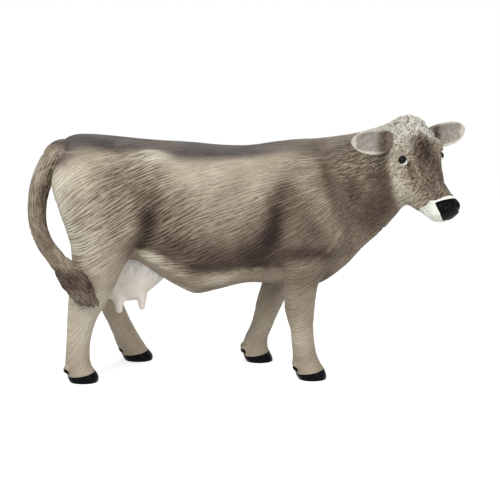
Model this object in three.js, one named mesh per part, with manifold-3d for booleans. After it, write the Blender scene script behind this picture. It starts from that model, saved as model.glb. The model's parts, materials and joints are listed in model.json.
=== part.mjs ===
// A standing toy cow in solid moulded vinyl, at its real size in millimetres.
// X points forwards, Y to the animal's left and Z up. The figure stands on four cloven feet.
import * as THREE from "three";
import { mergeVertices } from "three/addons/utils/BufferGeometryUtils.js";
import Module from "manifold-3d";

// Fit of one moulding in the next
const SEAM_GAP = 0.3;
const PLUG_CLEARANCE = 0.15;

// Size of the blocks that cut the forms, well over the figure's own
const CUT_REACH = 400;

// Fineness of the surfaces
const POINTS_ROUND_TRUNK = 32;
const POINTS_ROUND_HEAD = 22;
const POINTS_ROUND_LIMB = 18;
const POINTS_ROUND_TAIL = 12;
const POINTS_ROUND_EAR = 12;
const POINTS_ROUND_KNOB = 12;
const RING_SPACING = 4.5;
const RINGS_PER_TAIL_ROW = 3;
const STROKED_EDGE = 3.8;
const PLUG_SIDES = 12;

// Squareness of the sections: 2 is an ellipse, more is boxier, less is sharper
const TRUNK_SQUARENESS = 2.1;
const LIMB_SQUARENESS = 2.2;
const HEAD_SQUARENESS = 2.1;
const UDDER_SQUARENESS = 2.4;

// Trunk and neck, tail end first
// X, underside, top, half width, shift to the left, level of the widest place
const TRUNK = [
  [-58.2, 53, 67, 4, 0, 0.55],
  [-57.2, 47, 72.8, 8.5, 0, 0.6],
  [-54.6, 42.4, 75.6, 12, 0, 0.6],
  [-49.5, 39, 76.2, 14.8, 0, 0.6],
  [-43, 37, 75.7, 16.4, 0, 0.58],
  [-35, 36, 74.8, 17.2, 0, 0.55],
  [-29, 32.4, 74.2, 17.6, 0, 0.52],
  [-22, 28.2, 73.7, 18.4, 0, 0.5],
  [-16, 25.6, 73.2, 19, 0, 0.48],
  [-9, 27, 72.6, 19.6, 0, 0.48],
  [0, 29.1, 72.5, 19.8, 0, 0.48],
  [9, 28.8, 73.7, 18.6, 0, 0.48],
  [17, 27.8, 74.6, 16.6, 0, 0.5],
  [24, 29, 75, 14.4, 0, 0.52],
  [31, 34, 75.9, 12, 0, 0.54],
  [37, 40.6, 77.2, 10.2, -0.6, 0.54],
  [43, 46.4, 79.4, 9.1, -2, 0.55],
  [48, 52.8, 81.4, 8.2, -4.2, 0.55],
  [52, 58, 81, 6.4, -6.2, 0.55],
  [54.5, 64, 77, 3, -8, 0.5],
];

// Legs, sole first: height, rear, front, half width, distance from the midline
const HAUNCH = [
  [42, -54.4, -34.6, 7.6, 11],
  [48, -56, -32.2, 8.7, 10],
  [55, -58.4, -31, 9.2, 9.5],
  [62, -60.2, -31.8, 8.6, 8.8],
  [67.5, -59, -34, 6.4, 7.6],
  [71.5, -55.4, -38, 3.2, 6.8],
];
const HIND_LEG_RIGHT = [
  [0, -55.4, -46.6, 4.5, 13.2],
  [1.3, -56, -46.4, 4.8, 13.2],
  [3.4, -56.2, -47.6, 4.5, 13.2],
  [5, -56.6, -48.5, 4.2, 13.2],
  [8, -56.6, -49, 4, 13.2],
  [13, -56.2, -48.6, 3.9, 13.1],
  [19.3, -55.9, -46.8, 4.2, 13],
  [25, -55.5, -43.6, 4.7, 12.9],
  [31, -54.8, -40.5, 5.2, 12.8],
  [36, -54.3, -38, 5.9, 12.4],
  ...HAUNCH,
];
const HIND_LEG_LEFT = [
  [0, -39.8, -30.8, 4.5, 13],
  [1.3, -40.5, -30.8, 4.8, 13],
  [3.4, -41.4, -32.4, 4.5, 13],
  [5, -42.4, -33.4, 4.2, 13],
  [8, -43.4, -35.2, 4, 13],
  [11.2, -44.7, -36.9, 3.9, 13],
  [15.3, -46.6, -38.8, 4, 13],
  [19.3, -48.4, -40.3, 4.2, 13],
  [25, -51, -42, 4.7, 12.9],
  [31, -53.2, -40.8, 5.2, 12.8],
  [36, -54.2, -38.2, 5.9, 12.4],
  ...HAUNCH,
];
const UPPER_ARM = [
  [46, 9.6, 31.2, 7.7, 9.2],
  [53, 8.4, 31.6, 7.6, 8.5],
  [60, 9.2, 29.8, 6, 7.6],
  [66, 12, 26, 3, 6.6],
];
const FORELEG_RIGHT = [
  [0, 16.6, 25.2, 4.5, 9.9],
  [1.3, 15.8, 25.4, 4.8, 9.9],
  [3.4, 15.2, 24.4, 4.5, 9.9],
  [5, 14.7, 23.4, 4.2, 9.9],
  [8, 14.8, 22.2, 4, 10],
  [11.5, 14.4, 21.6, 3.8, 10.1],
  [15.4, 14.1, 21.2, 3.9, 10.2],
  [19.3, 13, 21.3, 4.3, 10.3],
  [23.2, 12.1, 21.6, 4.5, 10.4],
  [27, 12.1, 22, 4.7, 10.5],
  [31, 12.1, 22.9, 5.1, 10.6],
  [35, 12, 24.9, 5.8, 10.4],
  [40, 11.2, 28.4, 6.9, 9.8],
  ...UPPER_ARM,
];
const FORELEG_LEFT = [
  [0, 0, 8.6, 4.5, 11.6],
  [1.3, -0.7, 8.4, 4.8, 11.6],
  [3.4, -1, 7.4, 4.5, 11.6],
  [5, -1, 7, 4.2, 11.6],
  [8, -0.3, 7.2, 4, 11.5],
  [11.2, 1.2, 8.5, 3.8, 11.4],
  [15.3, 2.5, 10.2, 3.9, 11.3],
  [19.3, 3.3, 12, 4.3, 11.2],
  [23.2, 4.3, 13.9, 4.5, 11],
  [27, 5.6, 16.6, 4.7, 10.9],
  [31, 7.7, 20.2, 5.1, 10.8],
  [35, 10, 24, 5.8, 10.4],
  [40, 10.8, 28.2, 6.9, 9.8],
  ...UPPER_ARM,
];
const LIMB_WIDEST = 0.5;
const HIND_SEAM_HEIGHT = 34;
const FORE_SEAM_HEIGHT = 30;
const LEG_PLUG = { radius: 2.8, length: 6 };

// Feet
const CLEFT = { width: 1.1, height: 3.6, length: 4.6 };
const DEWCLAW = { radius: 1.15, height: 4.4, spread: 2.3, sink: 0.5 };

// Hips: the bony corners in front of the haunches, seen from the midline
const HIP_BONE = { x: -30, y: 9.2, z: 66, length: 8.5, width: 5, height: 6.4 };

// Strokes of the modelling tool on both flanks, as X and Z seen from the side,
// each with its reach and how far it lifts the surface; they fade out below the elbow
const FLANK_STROKES = {
  hip: { line: [[-30, 71.6], [-27.5, 71.2]], reach: 3.6, lift: 0.5 },
  pinBone: { line: [[-54, 70], [-50, 72]], reach: 3, lift: 0.4 },
  flankHollow: { line: [[-22, 66.5], [-19, 67.5]], reach: 5, lift: -1 },
  stifleFold: { line: [[-29.6, 66], [-30, 52], [-31.4, 46], [-33, 42]], reach: 1.5, lift: -0.8 },
  thighMuscle: { line: [[-34.5, 62], [-35, 52], [-36, 45]], reach: 3.2, lift: 0.35 },
  bellyRoll: { line: [[-33, 40.6], [-25, 36.4], [-17, 30.9], [4.4, 33.3]], reach: 1.4, lift: 0.8 },
  overTheRoll: { line: [[-30, 42.8], [-18, 36], [-13, 34.8], [5, 37.2]], reach: 1.4, lift: -0.5 },
  neckCrease: { line: [[22.5, 74], [26.2, 65.5], [28.2, 56], [32.5, 47]], reach: 1.8, lift: -0.65 },
  shoulderBlade: { line: [[16, 70.5], [18.5, 64], [23, 58], [28, 52]], reach: 2.3, lift: 0.6 },
  underTheBlade: { line: [[12.4, 69], [14.4, 63], [19, 56.5], [28, 47]], reach: 1.2, lift: -0.4 },
  behindTheElbow: { line: [[12.5, 63], [9.8, 57], [8.6, 51], [7.8, 44]], reach: 2.4, lift: -0.9 },
  upperArm: { line: [[15, 54], [17, 47]], reach: 3.8, lift: 0.5 },
};
const STROKES_FADE = { from: 31, to: 36 };
const FLANK_SHARE = { from: 0.3, to: 0.7 };

// Head: turned to the right and bent down, in its own axes
// from between the eyes: forwards along the face, to the left, and out of the forehead
const HEAD_PLACE = new THREE.Vector3(55, -11, 70.4);
const HEAD_TURN = 55;
const HEAD_BEND = 46;
// Along the face, jaw, forehead, half width, shift to the left, level of the widest place
const SKULL = [
  [-14.6, -2, 1.6, 2.6, 0, 0.5],
  [-13.2, -5.6, 2.9, 5, 0, 0.55],
  [-10, -9.4, 4, 6.8, 0, 0.6],
  [-5, -13, 3.4, 7.9, 0, 0.62],
  [0, -15.2, 2.6, 8.1, 0, 0.62],
  [4.5, -15.2, 1.7, 6.6, 0, 0.48],
  [9, -13.5, 1.1, 5.3, 0, 0.44],
  [13, -10.9, 1.1, 4.9, 0, 0.48],
  [16.5, -8.9, 1.5, 4.9, 0, 0.5],
  [18.2, -8, 1.2, 4.7, 0, 0.5],
  [19.3, -7, 0.3, 4, 0, 0.5],
  [20.1, -5.9, -1, 2.9, 0, 0.5],
  [20.6, -4.6, -2.3, 1.4, 0, 0.5],
];
// Rounded forms on the skull: where they sit in its axes, and their half sizes
const POLL_KNOB = { along: -10.8, out: 0, up: 1.5, length: 3.7, width: 5, height: 2.8 };
const EYE = { along: -0.7, out: 6.8, up: -0.5, length: 1.5, width: 1.4, height: 1.4 };
const BROW = { along: -2, out: 7, up: 0.5, length: 2.6, width: 1.9, height: 1.8 };
const EAR_BASE = { along: -8, out: 6.7, up: -1.6, length: 2.9, width: 2, height: 3 };
const NOSTRIL = { along: 19, out: 3, up: 0.4, length: 0.7, width: 0.8, height: 0.8 };
const NECK_SEAM_POINT = new THREE.Vector3(46, -4, 66);
const NECK_SEAM_NORMAL = new THREE.Vector3(0.9, -0.39, 0.17).normalize();
const HEAD_PLUG = { radius: 4.5, length: 8 };

// Ears, from the side of the head outwards: distance, half width, half thickness, cup
const EAR = [
  [-1, 2.3, 1.6, 0],
  [2, 3.3, 1.4, 0.4],
  [5, 3.8, 1, 1.2],
  [8.5, 3.8, 0.85, 1.5],
  [12, 3.2, 0.8, 1.2],
  [14.4, 2.1, 0.7, 0.7],
  [15.6, 0.8, 0.5, 0.2],
];
const EAR_ROOT = { along: -8.2, right: 7.6, left: 6.4, up: -1.4 };
const EAR_LIFT = 5;
const EAR_PLUG = { radius: 1, length: 2.6 };

// Tail, root first: X, Y, Z, half width, half thickness
const TAIL = [
  [-52.5, 0, 70.6, 3.4, 3.4],
  [-58.2, 0, 70.6, 3.9, 3.5],
  [-61.8, -0.3, 66.5, 3.5, 3.3],
  [-64.4, -1, 60.6, 3.3, 3.2],
  [-65.5, -3, 54.4, 3, 2.8],
  [-65, -6.2, 48.4, 2.8, 2.7],
  [-62.6, -10.4, 43.5, 2.7, 2.5],
  [-58.9, -14.6, 39.8, 2.8, 2.3],
  [-55.5, -18.2, 36.5, 3.6, 2.1],
  [-52.4, -20, 33, 4.2, 2],
  [-49.4, -20.2, 29.2, 3.3, 1.6],
  [-47.2, -19.8, 26, 1.1, 0.8],
];
const TAIL_PLUG = { radius: 1.8, length: 4, seat: 4 };

// Udder, rear first: X, underside, top, half width, shift to the left, level of the widest place
const UDDER = [
  [-48.4, 31, 36, 2, 0, 0.5],
  [-46.6, 26, 40, 5, 0, 0.5],
  [-43, 23.4, 41, 6.5, 0, 0.5],
  [-38, 22.8, 41, 7.1, 0, 0.5],
  [-34, 23.6, 41, 7.1, 0, 0.5],
  [-30.5, 26.2, 40, 6.6, 0, 0.5],
  [-27.6, 28.8, 37, 5.2, 0, 0.5],
  [-25.6, 31, 34, 2.4, 0, 0.5],
];
const TEAT = { radius: 1.15, length: 4.6, spread: 3.7 };
const TEAT_TIPS = [{ x: -40.2, z: 19.6 }, { x: -33, z: 20.6 }];
const UDDER_PLUG = { radius: 3, length: 5, x: -37.5 };

// Colours of the painted vinyl
const COAT = { color: 0x968571, roughness: 0.72, metalness: 0 };
const LEG_BEIGE = { color: 0xb0a390, roughness: 0.72, metalness: 0 };
const EAR_GREY = { color: 0xb9b4aa, roughness: 0.72, metalness: 0 };
const TAIL_BROWN = { color: 0x857361, roughness: 0.75, metalness: 0 };
const UDDER_PINK = { color: 0xd9cfca, roughness: 0.6, metalness: 0 };

const wasm = await Module();
wasm.setup();

// Surfaces

// The columns after the first, between the rows given, on a smooth curve through them.
function between(rows) {
  const width = rows[0].length - 1;
  const curve = new THREE.CubicInterpolant(
    rows.map((row) => row[0]),
    rows.flatMap((row) => row.slice(1)),
    width,
  );
  return (at) => Array.from(curve.evaluate(at)).slice(0, width);
}

// The places along the rows where a ring stands: every row, and evenly spaced ones between.
function ringPlaces(rows) {
  const places = [rows[0][0]];
  for (let i = 1; i < rows.length; i += 1) {
    const from = rows[i - 1][0];
    const length = rows[i][0] - from;
    const steps = Math.max(1, Math.round(length / RING_SPACING));
    for (let k = 1; k <= steps; k += 1) places.push(from + (length * k) / steps);
  }
  return places;
}

// A power that keeps its sign, for rounded-square ovals.
function signedPower(value, power) {
  return Math.sign(value) * Math.abs(value) ** power;
}

// One ring of an oval whose underside, top, width and widest level are its own.
function ovalRing(at, [low, high, half, shift, widest], squareness, count, grow) {
  const middle = low + (high - low) * widest;
  const ring = [];
  for (let i = 0; i < count; i += 1) {
    const turn = (2 * Math.PI * i) / count;
    const across = signedPower(Math.cos(turn), 2 / squareness) * (half + grow);
    const rise = signedPower(Math.sin(turn), 2 / squareness);
    const reach = (rise > 0 ? high - middle : middle - low) + grow;
    ring.push(new THREE.Vector3(at, shift + across, middle + rise * reach));
  }
  return ring;
}

// Six times the volume inside an indexed surface, negative if it faces inwards.
function signedVolume(points, faces) {
  let total = 0;
  const normal = new THREE.Vector3();
  for (let i = 0; i < faces.length; i += 3) {
    normal.crossVectors(points[faces[i + 1]], points[faces[i + 2]]);
    total += points[faces[i]].dot(normal);
  }
  return total;
}

// A closed skin over rings of equal count, placed in the axes given, with a fan over each end.
function skin(rings, axes) {
  const count = rings[0].length;
  const points = rings.flat().map((point) => point.clone().applyMatrix4(axes));
  const faces = [];
  for (let r = 0; r + 1 < rings.length; r += 1) {
    for (let i = 0; i < count; i += 1) {
      const a = r * count + i;
      const b = r * count + ((i + 1) % count);
      faces.push(a, b, b + count, a, b + count, a + count);
    }
  }
  for (const first of [0, (rings.length - 1) * count]) {
    const centre = new THREE.Vector3();
    for (let i = 0; i < count; i += 1) centre.addScaledVector(points[first + i], 1 / count);
    points.push(centre);
    const hub = points.length - 1;
    for (let i = 0; i < count; i += 1) {
      const next = first + ((i + 1) % count);
      if (first === 0) faces.push(hub, next, first + i);
      else faces.push(hub, first + i, next);
    }
  }
  if (signedVolume(points, faces) < 0) faces.reverse();
  const geometry = new THREE.BufferGeometry().setFromPoints(points);
  geometry.setIndex(faces);
  return geometry;
}

// A three.js geometry as a solid that can be joined and cut.
function toSolid(geometry) {
  const bare = geometry.clone();
  bare.deleteAttribute("normal");
  bare.deleteAttribute("uv");
  const merged = mergeVertices(bare, 1e-4);
  return new wasm.Manifold(
    new wasm.Mesh({
      numProp: 3,
      vertProperties: merged.getAttribute("position").array,
      triVerts: new Uint32Array(merged.index.array),
    }),
  );
}

// A solid as a three.js geometry.
function toGeometry(solid) {
  const mesh = solid.getMesh();
  const geometry = new THREE.BufferGeometry();
  geometry.setAttribute("position", new THREE.BufferAttribute(mesh.vertProperties, 3));
  geometry.setIndex(new THREE.BufferAttribute(mesh.triVerts, 1));
  geometry.computeVertexNormals();
  return geometry;
}

// An oval body through its rows, in the axes given, grown on all sides if asked.
function ovalBody(rows, axes, { squareness, count, grow = 0 }) {
  const row = between(rows);
  const places = ringPlaces(rows);
  const rings = places.map((at, i) => {
    const ahead = i === 0 ? -grow : i === places.length - 1 ? grow : 0;
    return ovalRing(at + ahead, row(at), squareness, count, grow);
  });
  return toSolid(skin(rings, axes));
}

// A peg that starts at a point and runs along a direction.
function peg(radius, length, start, direction) {
  const geometry = new THREE.CylinderGeometry(radius, radius, length, PLUG_SIDES);
  geometry.translate(0, length / 2, 0);
  const up = new THREE.Vector3(0, 1, 0);
  geometry.applyQuaternion(new THREE.Quaternion().setFromUnitVectors(up, direction));
  return toSolid(geometry.translate(start.x, start.y, start.z));
}

// An ellipsoid of three half sizes, in the axes given.
function knob(centre, sizes, axes) {
  const geometry = new THREE.SphereGeometry(1, POINTS_ROUND_KNOB, POINTS_ROUND_KNOB / 2);
  geometry.scale(...sizes).translate(...centre);
  return toSolid(geometry.applyMatrix4(axes));
}

// Everything on the side of a plane that its normal points to.
function beyond(point, normal) {
  const geometry = new THREE.BoxGeometry(CUT_REACH, CUT_REACH, CUT_REACH);
  geometry.translate(0, 0, CUT_REACH / 2);
  const out = new THREE.Vector3(0, 0, 1);
  geometry.applyQuaternion(new THREE.Quaternion().setFromUnitVectors(out, normal));
  return toSolid(geometry.translate(point.x, point.y, point.z));
}

// The child gets a plug and the parent a socket, both across the seam between them.
function plugTogether(child, parent, plug, seam, direction) {
  const root = seam.clone().addScaledVector(direction, -plug.length);
  const reach = 2 * plug.length;
  const pin = peg(plug.radius, reach, root, direction);
  const hole = peg(plug.radius + PLUG_CLEARANCE, reach + PLUG_CLEARANCE, root, direction);
  return [child.add(pin), parent.subtract(hole)];
}

// Axes of the bodies

const UPRIGHT = new THREE.Matrix4();
const STANDING = new THREE.Matrix4().makeBasis(
  new THREE.Vector3(0, 0, 1),
  new THREE.Vector3(0, 1, 0),
  new THREE.Vector3(1, 0, 0),
);
const HEAD_ROTATION = new THREE.Quaternion().setFromEuler(
  new THREE.Euler(0, THREE.MathUtils.degToRad(HEAD_BEND), -THREE.MathUtils.degToRad(HEAD_TURN), "ZYX"),
);
const HEAD_AXES = new THREE.Matrix4().compose(HEAD_PLACE, HEAD_ROTATION, new THREE.Vector3(1, 1, 1));

// Bodies before they are cut into mouldings

// The trunk and neck.
function trunk(grow = 0) {
  return ovalBody(TRUNK, UPRIGHT, { squareness: TRUNK_SQUARENESS, count: POINTS_ROUND_TRUNK, grow });
}

// A whole leg from its sole to its shoulder or haunch; side is 1 on the left and -1 on the right.
function limb(rows, side, grow = 0) {
  const placed = rows.map(([z, rear, front, half, out]) => {
    return [z, rear, front, half, side * out, LIMB_WIDEST];
  });
  const options = { squareness: LIMB_SQUARENESS, count: POINTS_ROUND_LIMB, grow };
  return ovalBody(placed, STANDING, options);
}

// A rounded form on the head; side is 1 on the left and -1 on the right.
function headKnob({ along, out, up, length, width, height }, side, grow = 0) {
  return knob([along, side * out, up], [length + grow, width + grow, height + grow], HEAD_AXES);
}

// The skull with poll, brows, eyes, nostrils and the bases of the ears.
function skull(grow = 0) {
  const options = { squareness: HEAD_SQUARENESS, count: POINTS_ROUND_HEAD, grow };
  let form = ovalBody(SKULL, HEAD_AXES, options).add(headKnob(POLL_KNOB, 1, grow));
  for (const side of [-1, 1]) {
    for (const bump of [EAR_BASE, BROW, EYE]) form = form.add(headKnob(bump, side, grow));
    form = form.subtract(headKnob(NOSTRIL, side));
  }
  return form;
}

// One ear in the axes given: it grows from the origin along +X and its hollow faces +Z.
function earForm(axes) {
  const row = between(EAR);
  const rings = ringPlaces(EAR).map((at) => {
    const [half, thick, cup] = row(at);
    return Array.from({ length: POINTS_ROUND_EAR }, (_, i) => {
      const turn = (2 * Math.PI * i) / POINTS_ROUND_EAR;
      const across = Math.cos(turn);
      return new THREE.Vector3(at, half * across, thick * Math.sin(turn) + cup * (across ** 2 - 0.5));
    });
  });
  return toSolid(skin(rings, axes));
}

// Where an ear is rooted and which way it points; side is 1 on the left and -1 on the right.
function earAxes(side) {
  const aside = side > 0 ? EAR_ROOT.left : -EAR_ROOT.right;
  const root = new THREE.Vector3(EAR_ROOT.along, aside, EAR_ROOT.up).applyMatrix4(HEAD_AXES);
  const lift = THREE.MathUtils.degToRad(EAR_LIFT);
  const turn = THREE.MathUtils.degToRad(HEAD_TURN);
  const out = new THREE.Vector3(side * Math.sin(turn), side * Math.cos(turn), Math.tan(lift)).normalize();
  const facing = new THREE.Vector3(Math.cos(turn), -Math.sin(turn), 0);
  const across = new THREE.Vector3().crossVectors(facing, out);
  return { root, out, axes: new THREE.Matrix4().makeBasis(out, across, facing).setPosition(root) };
}

// The tail as ovals square to a smooth line through its points.
function tailForm() {
  const line = new THREE.CatmullRomCurve3(TAIL.map(([x, y, z]) => new THREE.Vector3(x, y, z)));
  const widths = between(TAIL.map(([, , , half, thick], i) => [i / (TAIL.length - 1), half, thick]));
  const count = RINGS_PER_TAIL_ROW * (TAIL.length - 1);
  const side = new THREE.Vector3(0, 1, 0);
  const rings = Array.from({ length: count + 1 }, (_, k) => {
    const share = k / count;
    const centre = line.getPoint(share);
    const along = line.getTangent(share);
    const across = new THREE.Vector3().crossVectors(side, along).normalize();
    const out = new THREE.Vector3().crossVectors(along, across);
    const [half, thick] = widths(share);
    return Array.from({ length: POINTS_ROUND_TAIL }, (_, i) => {
      const turn = (2 * Math.PI * i) / POINTS_ROUND_TAIL;
      return centre.clone().addScaledVector(across, half * Math.cos(turn))
        .addScaledVector(out, thick * Math.sin(turn));
    });
  });
  return { form: toSolid(skin(rings, UPRIGHT)), start: line.getPoint(0), along: line.getTangent(0) };
}

// The udder bag with its four teats.
function udderForm() {
  const options = { squareness: UDDER_SQUARENESS, count: POINTS_ROUND_LIMB };
  let form = ovalBody(UDDER, UPRIGHT, options);
  for (const { x, z } of TEAT_TIPS) {
    for (const side of [-1, 1]) {
      const tip = new THREE.Vector3(x, side * TEAT.spread, z + TEAT.radius);
      form = form.add(peg(TEAT.radius, TEAT.length, tip, new THREE.Vector3(0, 0, 1)));
      form = form.add(knob(tip.toArray(), [TEAT.radius, TEAT.radius, TEAT.radius], UPRIGHT));
    }
  }
  return form;
}

// Feet: the cleft between the claws is cut out and two dewclaws are added behind.
function withFoot(leg, rows, side) {
  const [, , toe, , out] = rows[0];
  const heel = between(rows)(DEWCLAW.height)[0];
  const outline = new THREE.Shape([
    new THREE.Vector2(-CLEFT.length, 0),
    new THREE.Vector2(CLEFT.length, -CLEFT.width),
    new THREE.Vector2(CLEFT.length, CLEFT.width),
  ]);
  const wedge = new THREE.ExtrudeGeometry(outline, { depth: CLEFT.height * 2, bevelEnabled: false });
  wedge.translate(toe, side * out, -CLEFT.height);
  let foot = leg.subtract(toSolid(wedge));
  for (const turn of [-1, 1]) {
    const claw = [heel + DEWCLAW.sink, side * out + turn * DEWCLAW.spread, DEWCLAW.height];
    foot = foot.add(knob(claw, [DEWCLAW.radius, DEWCLAW.radius, DEWCLAW.radius], UPRIGHT));
  }
  return foot;
}

// Cutting and plugging the mouldings

const UP = new THREE.Vector3(0, 0, 1);
const DOWN = new THREE.Vector3(0, 0, -1);
const LEGS = [
  { name: "right_foreleg", rows: FORELEG_RIGHT, side: -1, seam: FORE_SEAM_HEIGHT },
  { name: "left_foreleg", rows: FORELEG_LEFT, side: 1, seam: FORE_SEAM_HEIGHT },
  { name: "right_hind_leg", rows: HIND_LEG_RIGHT, side: -1, seam: HIND_SEAM_HEIGHT },
  { name: "left_hind_leg", rows: HIND_LEG_LEFT, side: 1, seam: HIND_SEAM_HEIGHT },
];

// The solid less everything that it has to stay clear of.
function clearOf(solid, neighbours) {
  return neighbours.reduce((rest, neighbour) => rest.subtract(neighbour), solid);
}

// The middle of a leg at its seam.
function seamCentre({ rows, side, seam }) {
  const [rear, front, , out] = between(rows)(seam);
  return new THREE.Vector3((rear + front) / 2, side * out, seam);
}

// The trunk with its hips and the upper ends of the four legs, down to their seams.
function torsoForm() {
  const { x, y, z, length, width, height } = HIP_BONE;
  let form = trunk();
  for (const side of [-1, 1]) form = form.add(knob([x, side * y, z], [length, width, height], UPRIGHT));
  for (const leg of LEGS) {
    const stump = seamCentre(leg).addScaledVector(UP, SEAM_GAP);
    form = form.add(limb(leg.rows, leg.side).intersect(beyond(stump, UP)));
  }
  return form;
}

// How far a place on a flank is lifted: each stroke falls off as a bell with distance from its line.
function liftAt(x, z) {
  const place = new THREE.Vector3(x, 0, z);
  const nearest = new THREE.Vector3();
  let total = 0;
  for (const { line, reach, lift } of Object.values(FLANK_STROKES)) {
    const marks = line.map(([markX, markZ]) => new THREE.Vector3(markX, 0, markZ));
    const gaps = marks.slice(1).map((mark, i) => {
      new THREE.Line3(marks[i], mark).closestPointToPoint(place, true, nearest);
      return nearest.distanceTo(place);
    });
    total += lift * Math.exp(-((Math.min(...gaps) / reach) ** 2));
  }
  return total * THREE.MathUtils.smoothstep(z, STROKES_FADE.from, STROKES_FADE.to);
}

// The form with its flanks lifted and pressed in sideways by the strokes.
function stroked(form) {
  const row = between(TRUNK);
  return form.refineToLength(STROKED_EDGE).warp((point) => {
    const [x, y, z] = point;
    const half = row(x)[2];
    const share = THREE.MathUtils.smoothstep(Math.abs(y) / half, FLANK_SHARE.from, FLANK_SHARE.to);
    point[1] = y + Math.sign(y) * share * liftAt(x, z);
  });
}

const solids = {};
const pivots = {};
const larger = [trunk(SEAM_GAP), ...LEGS.map(({ rows, side }) => limb(rows, side, SEAM_GAP))];

// Head and torso are one form, parted by a plane across the neck.
const body = stroked(torsoForm()).add(skull());
const neckwards = NECK_SEAM_NORMAL.clone().negate();
const neckEnd = NECK_SEAM_POINT.clone().addScaledVector(neckwards, SEAM_GAP);
pivots.torso = new THREE.Vector3();
pivots.head = NECK_SEAM_POINT;
solids.torso = body.intersect(beyond(neckEnd, neckwards));
solids.head = body.intersect(beyond(NECK_SEAM_POINT, NECK_SEAM_NORMAL));
[solids.head, solids.torso] = plugTogether(solids.head, solids.torso, HEAD_PLUG, pivots.head, neckwards);

for (const leg of LEGS) {
  const { name, rows, side } = leg;
  pivots[name] = seamCentre(leg);
  const lower = limb(rows, side).intersect(beyond(pivots[name], DOWN));
  solids[name] = withFoot(clearOf(lower, [trunk(SEAM_GAP)]), rows, side);
  [solids[name], solids.torso] = plugTogether(solids[name], solids.torso, LEG_PLUG, pivots[name], UP);
}

pivots.udder = new THREE.Vector3(UDDER_PLUG.x, 0, between(TRUNK)(UDDER_PLUG.x)[0]);
solids.udder = clearOf(udderForm(), larger);
[solids.udder, solids.torso] = plugTogether(solids.udder, solids.torso, UDDER_PLUG, pivots.udder, UP);

const { form, start, along } = tailForm();
const rumpwards = along.clone().negate();
pivots.tail = start.clone().addScaledVector(along, TAIL_PLUG.seat);
solids.tail = clearOf(form, larger);
[solids.tail, solids.torso] = plugTogether(solids.tail, solids.torso, TAIL_PLUG, pivots.tail, rumpwards);

for (const [name, side] of [["right_ear", -1], ["left_ear", 1]]) {
  const { root, out, axes } = earAxes(side);
  const headwards = out.clone().negate();
  pivots[name] = root;
  solids[name] = clearOf(earForm(axes), [trunk(SEAM_GAP), skull(SEAM_GAP)]);
  [solids[name], solids.head] = plugTogether(solids[name], solids.head, EAR_PLUG, root, headwards);
}

// The figure as a scene graph: each moulding is placed by the middle of its own seam

const FINISHES = {
  torso: COAT,
  head: COAT,
  right_ear: EAR_GREY,
  left_ear: EAR_GREY,
  tail: TAIL_BROWN,
  udder: UDDER_PINK,
  right_foreleg: LEG_BEIGE,
  left_foreleg: LEG_BEIGE,
  right_hind_leg: LEG_BEIGE,
  left_hind_leg: LEG_BEIGE,
};

// A named mesh of one moulding, with its own axes at its pivot.
function moulding(name) {
  const pivot = pivots[name];
  const geometry = toGeometry(solids[name]).translate(-pivot.x, -pivot.y, -pivot.z);
  const mesh = new THREE.Mesh(geometry, new THREE.MeshStandardMaterial(FINISHES[name]));
  mesh.name = name;
  mesh.position.copy(pivot);
  return mesh;
}

const cow = new THREE.Group();
cow.name = "toy_cow";
for (const name of Object.keys(FINISHES)) cow.add(moulding(name));

// The ground is at height 0, and the middle of the figure's box stands over the origin
const box = new THREE.Box3().setFromObject(cow);
const middle = box.getCenter(new THREE.Vector3());
cow.position.set(-middle.x, -middle.y, -box.min.z);

export default cow;
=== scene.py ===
"""A painted vinyl cow figure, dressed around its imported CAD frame.

The figure's own axes are in millimetres: X forwards, Y to the animal's left, Z up from the ground.
Torso, head and lower legs are skins of one field, so that the mouldings meet flush at their seams.
"""

import json
import logging
import math
from collections.abc import Callable
from dataclasses import dataclass
from enum import Enum

import bmesh
import bpy
import numpy as np
from mathutils import Matrix, Vector


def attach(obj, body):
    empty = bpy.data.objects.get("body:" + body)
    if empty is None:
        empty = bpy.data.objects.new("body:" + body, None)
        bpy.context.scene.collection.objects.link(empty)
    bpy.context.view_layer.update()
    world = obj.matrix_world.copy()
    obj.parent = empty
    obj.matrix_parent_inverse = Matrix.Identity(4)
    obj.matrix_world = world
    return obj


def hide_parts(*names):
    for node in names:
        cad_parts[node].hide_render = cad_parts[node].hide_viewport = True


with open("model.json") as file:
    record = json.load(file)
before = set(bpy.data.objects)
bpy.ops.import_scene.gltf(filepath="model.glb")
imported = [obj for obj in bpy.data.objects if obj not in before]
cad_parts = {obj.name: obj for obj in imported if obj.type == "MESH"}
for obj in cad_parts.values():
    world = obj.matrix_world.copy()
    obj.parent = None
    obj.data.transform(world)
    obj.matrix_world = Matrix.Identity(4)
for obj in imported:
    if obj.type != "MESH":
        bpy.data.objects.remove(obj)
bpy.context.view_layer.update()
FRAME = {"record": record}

Array = np.ndarray
Rows = tuple[tuple[float, ...], ...]
Point = tuple[float, float, float]
Field = Callable[[Array], Array]
Socket = bpy.types.NodeSocket

MM = 0.001
BODY = "root"
LOG = logging.getLogger("cow")


class Side(Enum):
    """The two sides of the animal, as the sign of Y."""

    RIGHT = -1
    LEFT = 1


# Sections of the bodies, in mm

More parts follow.
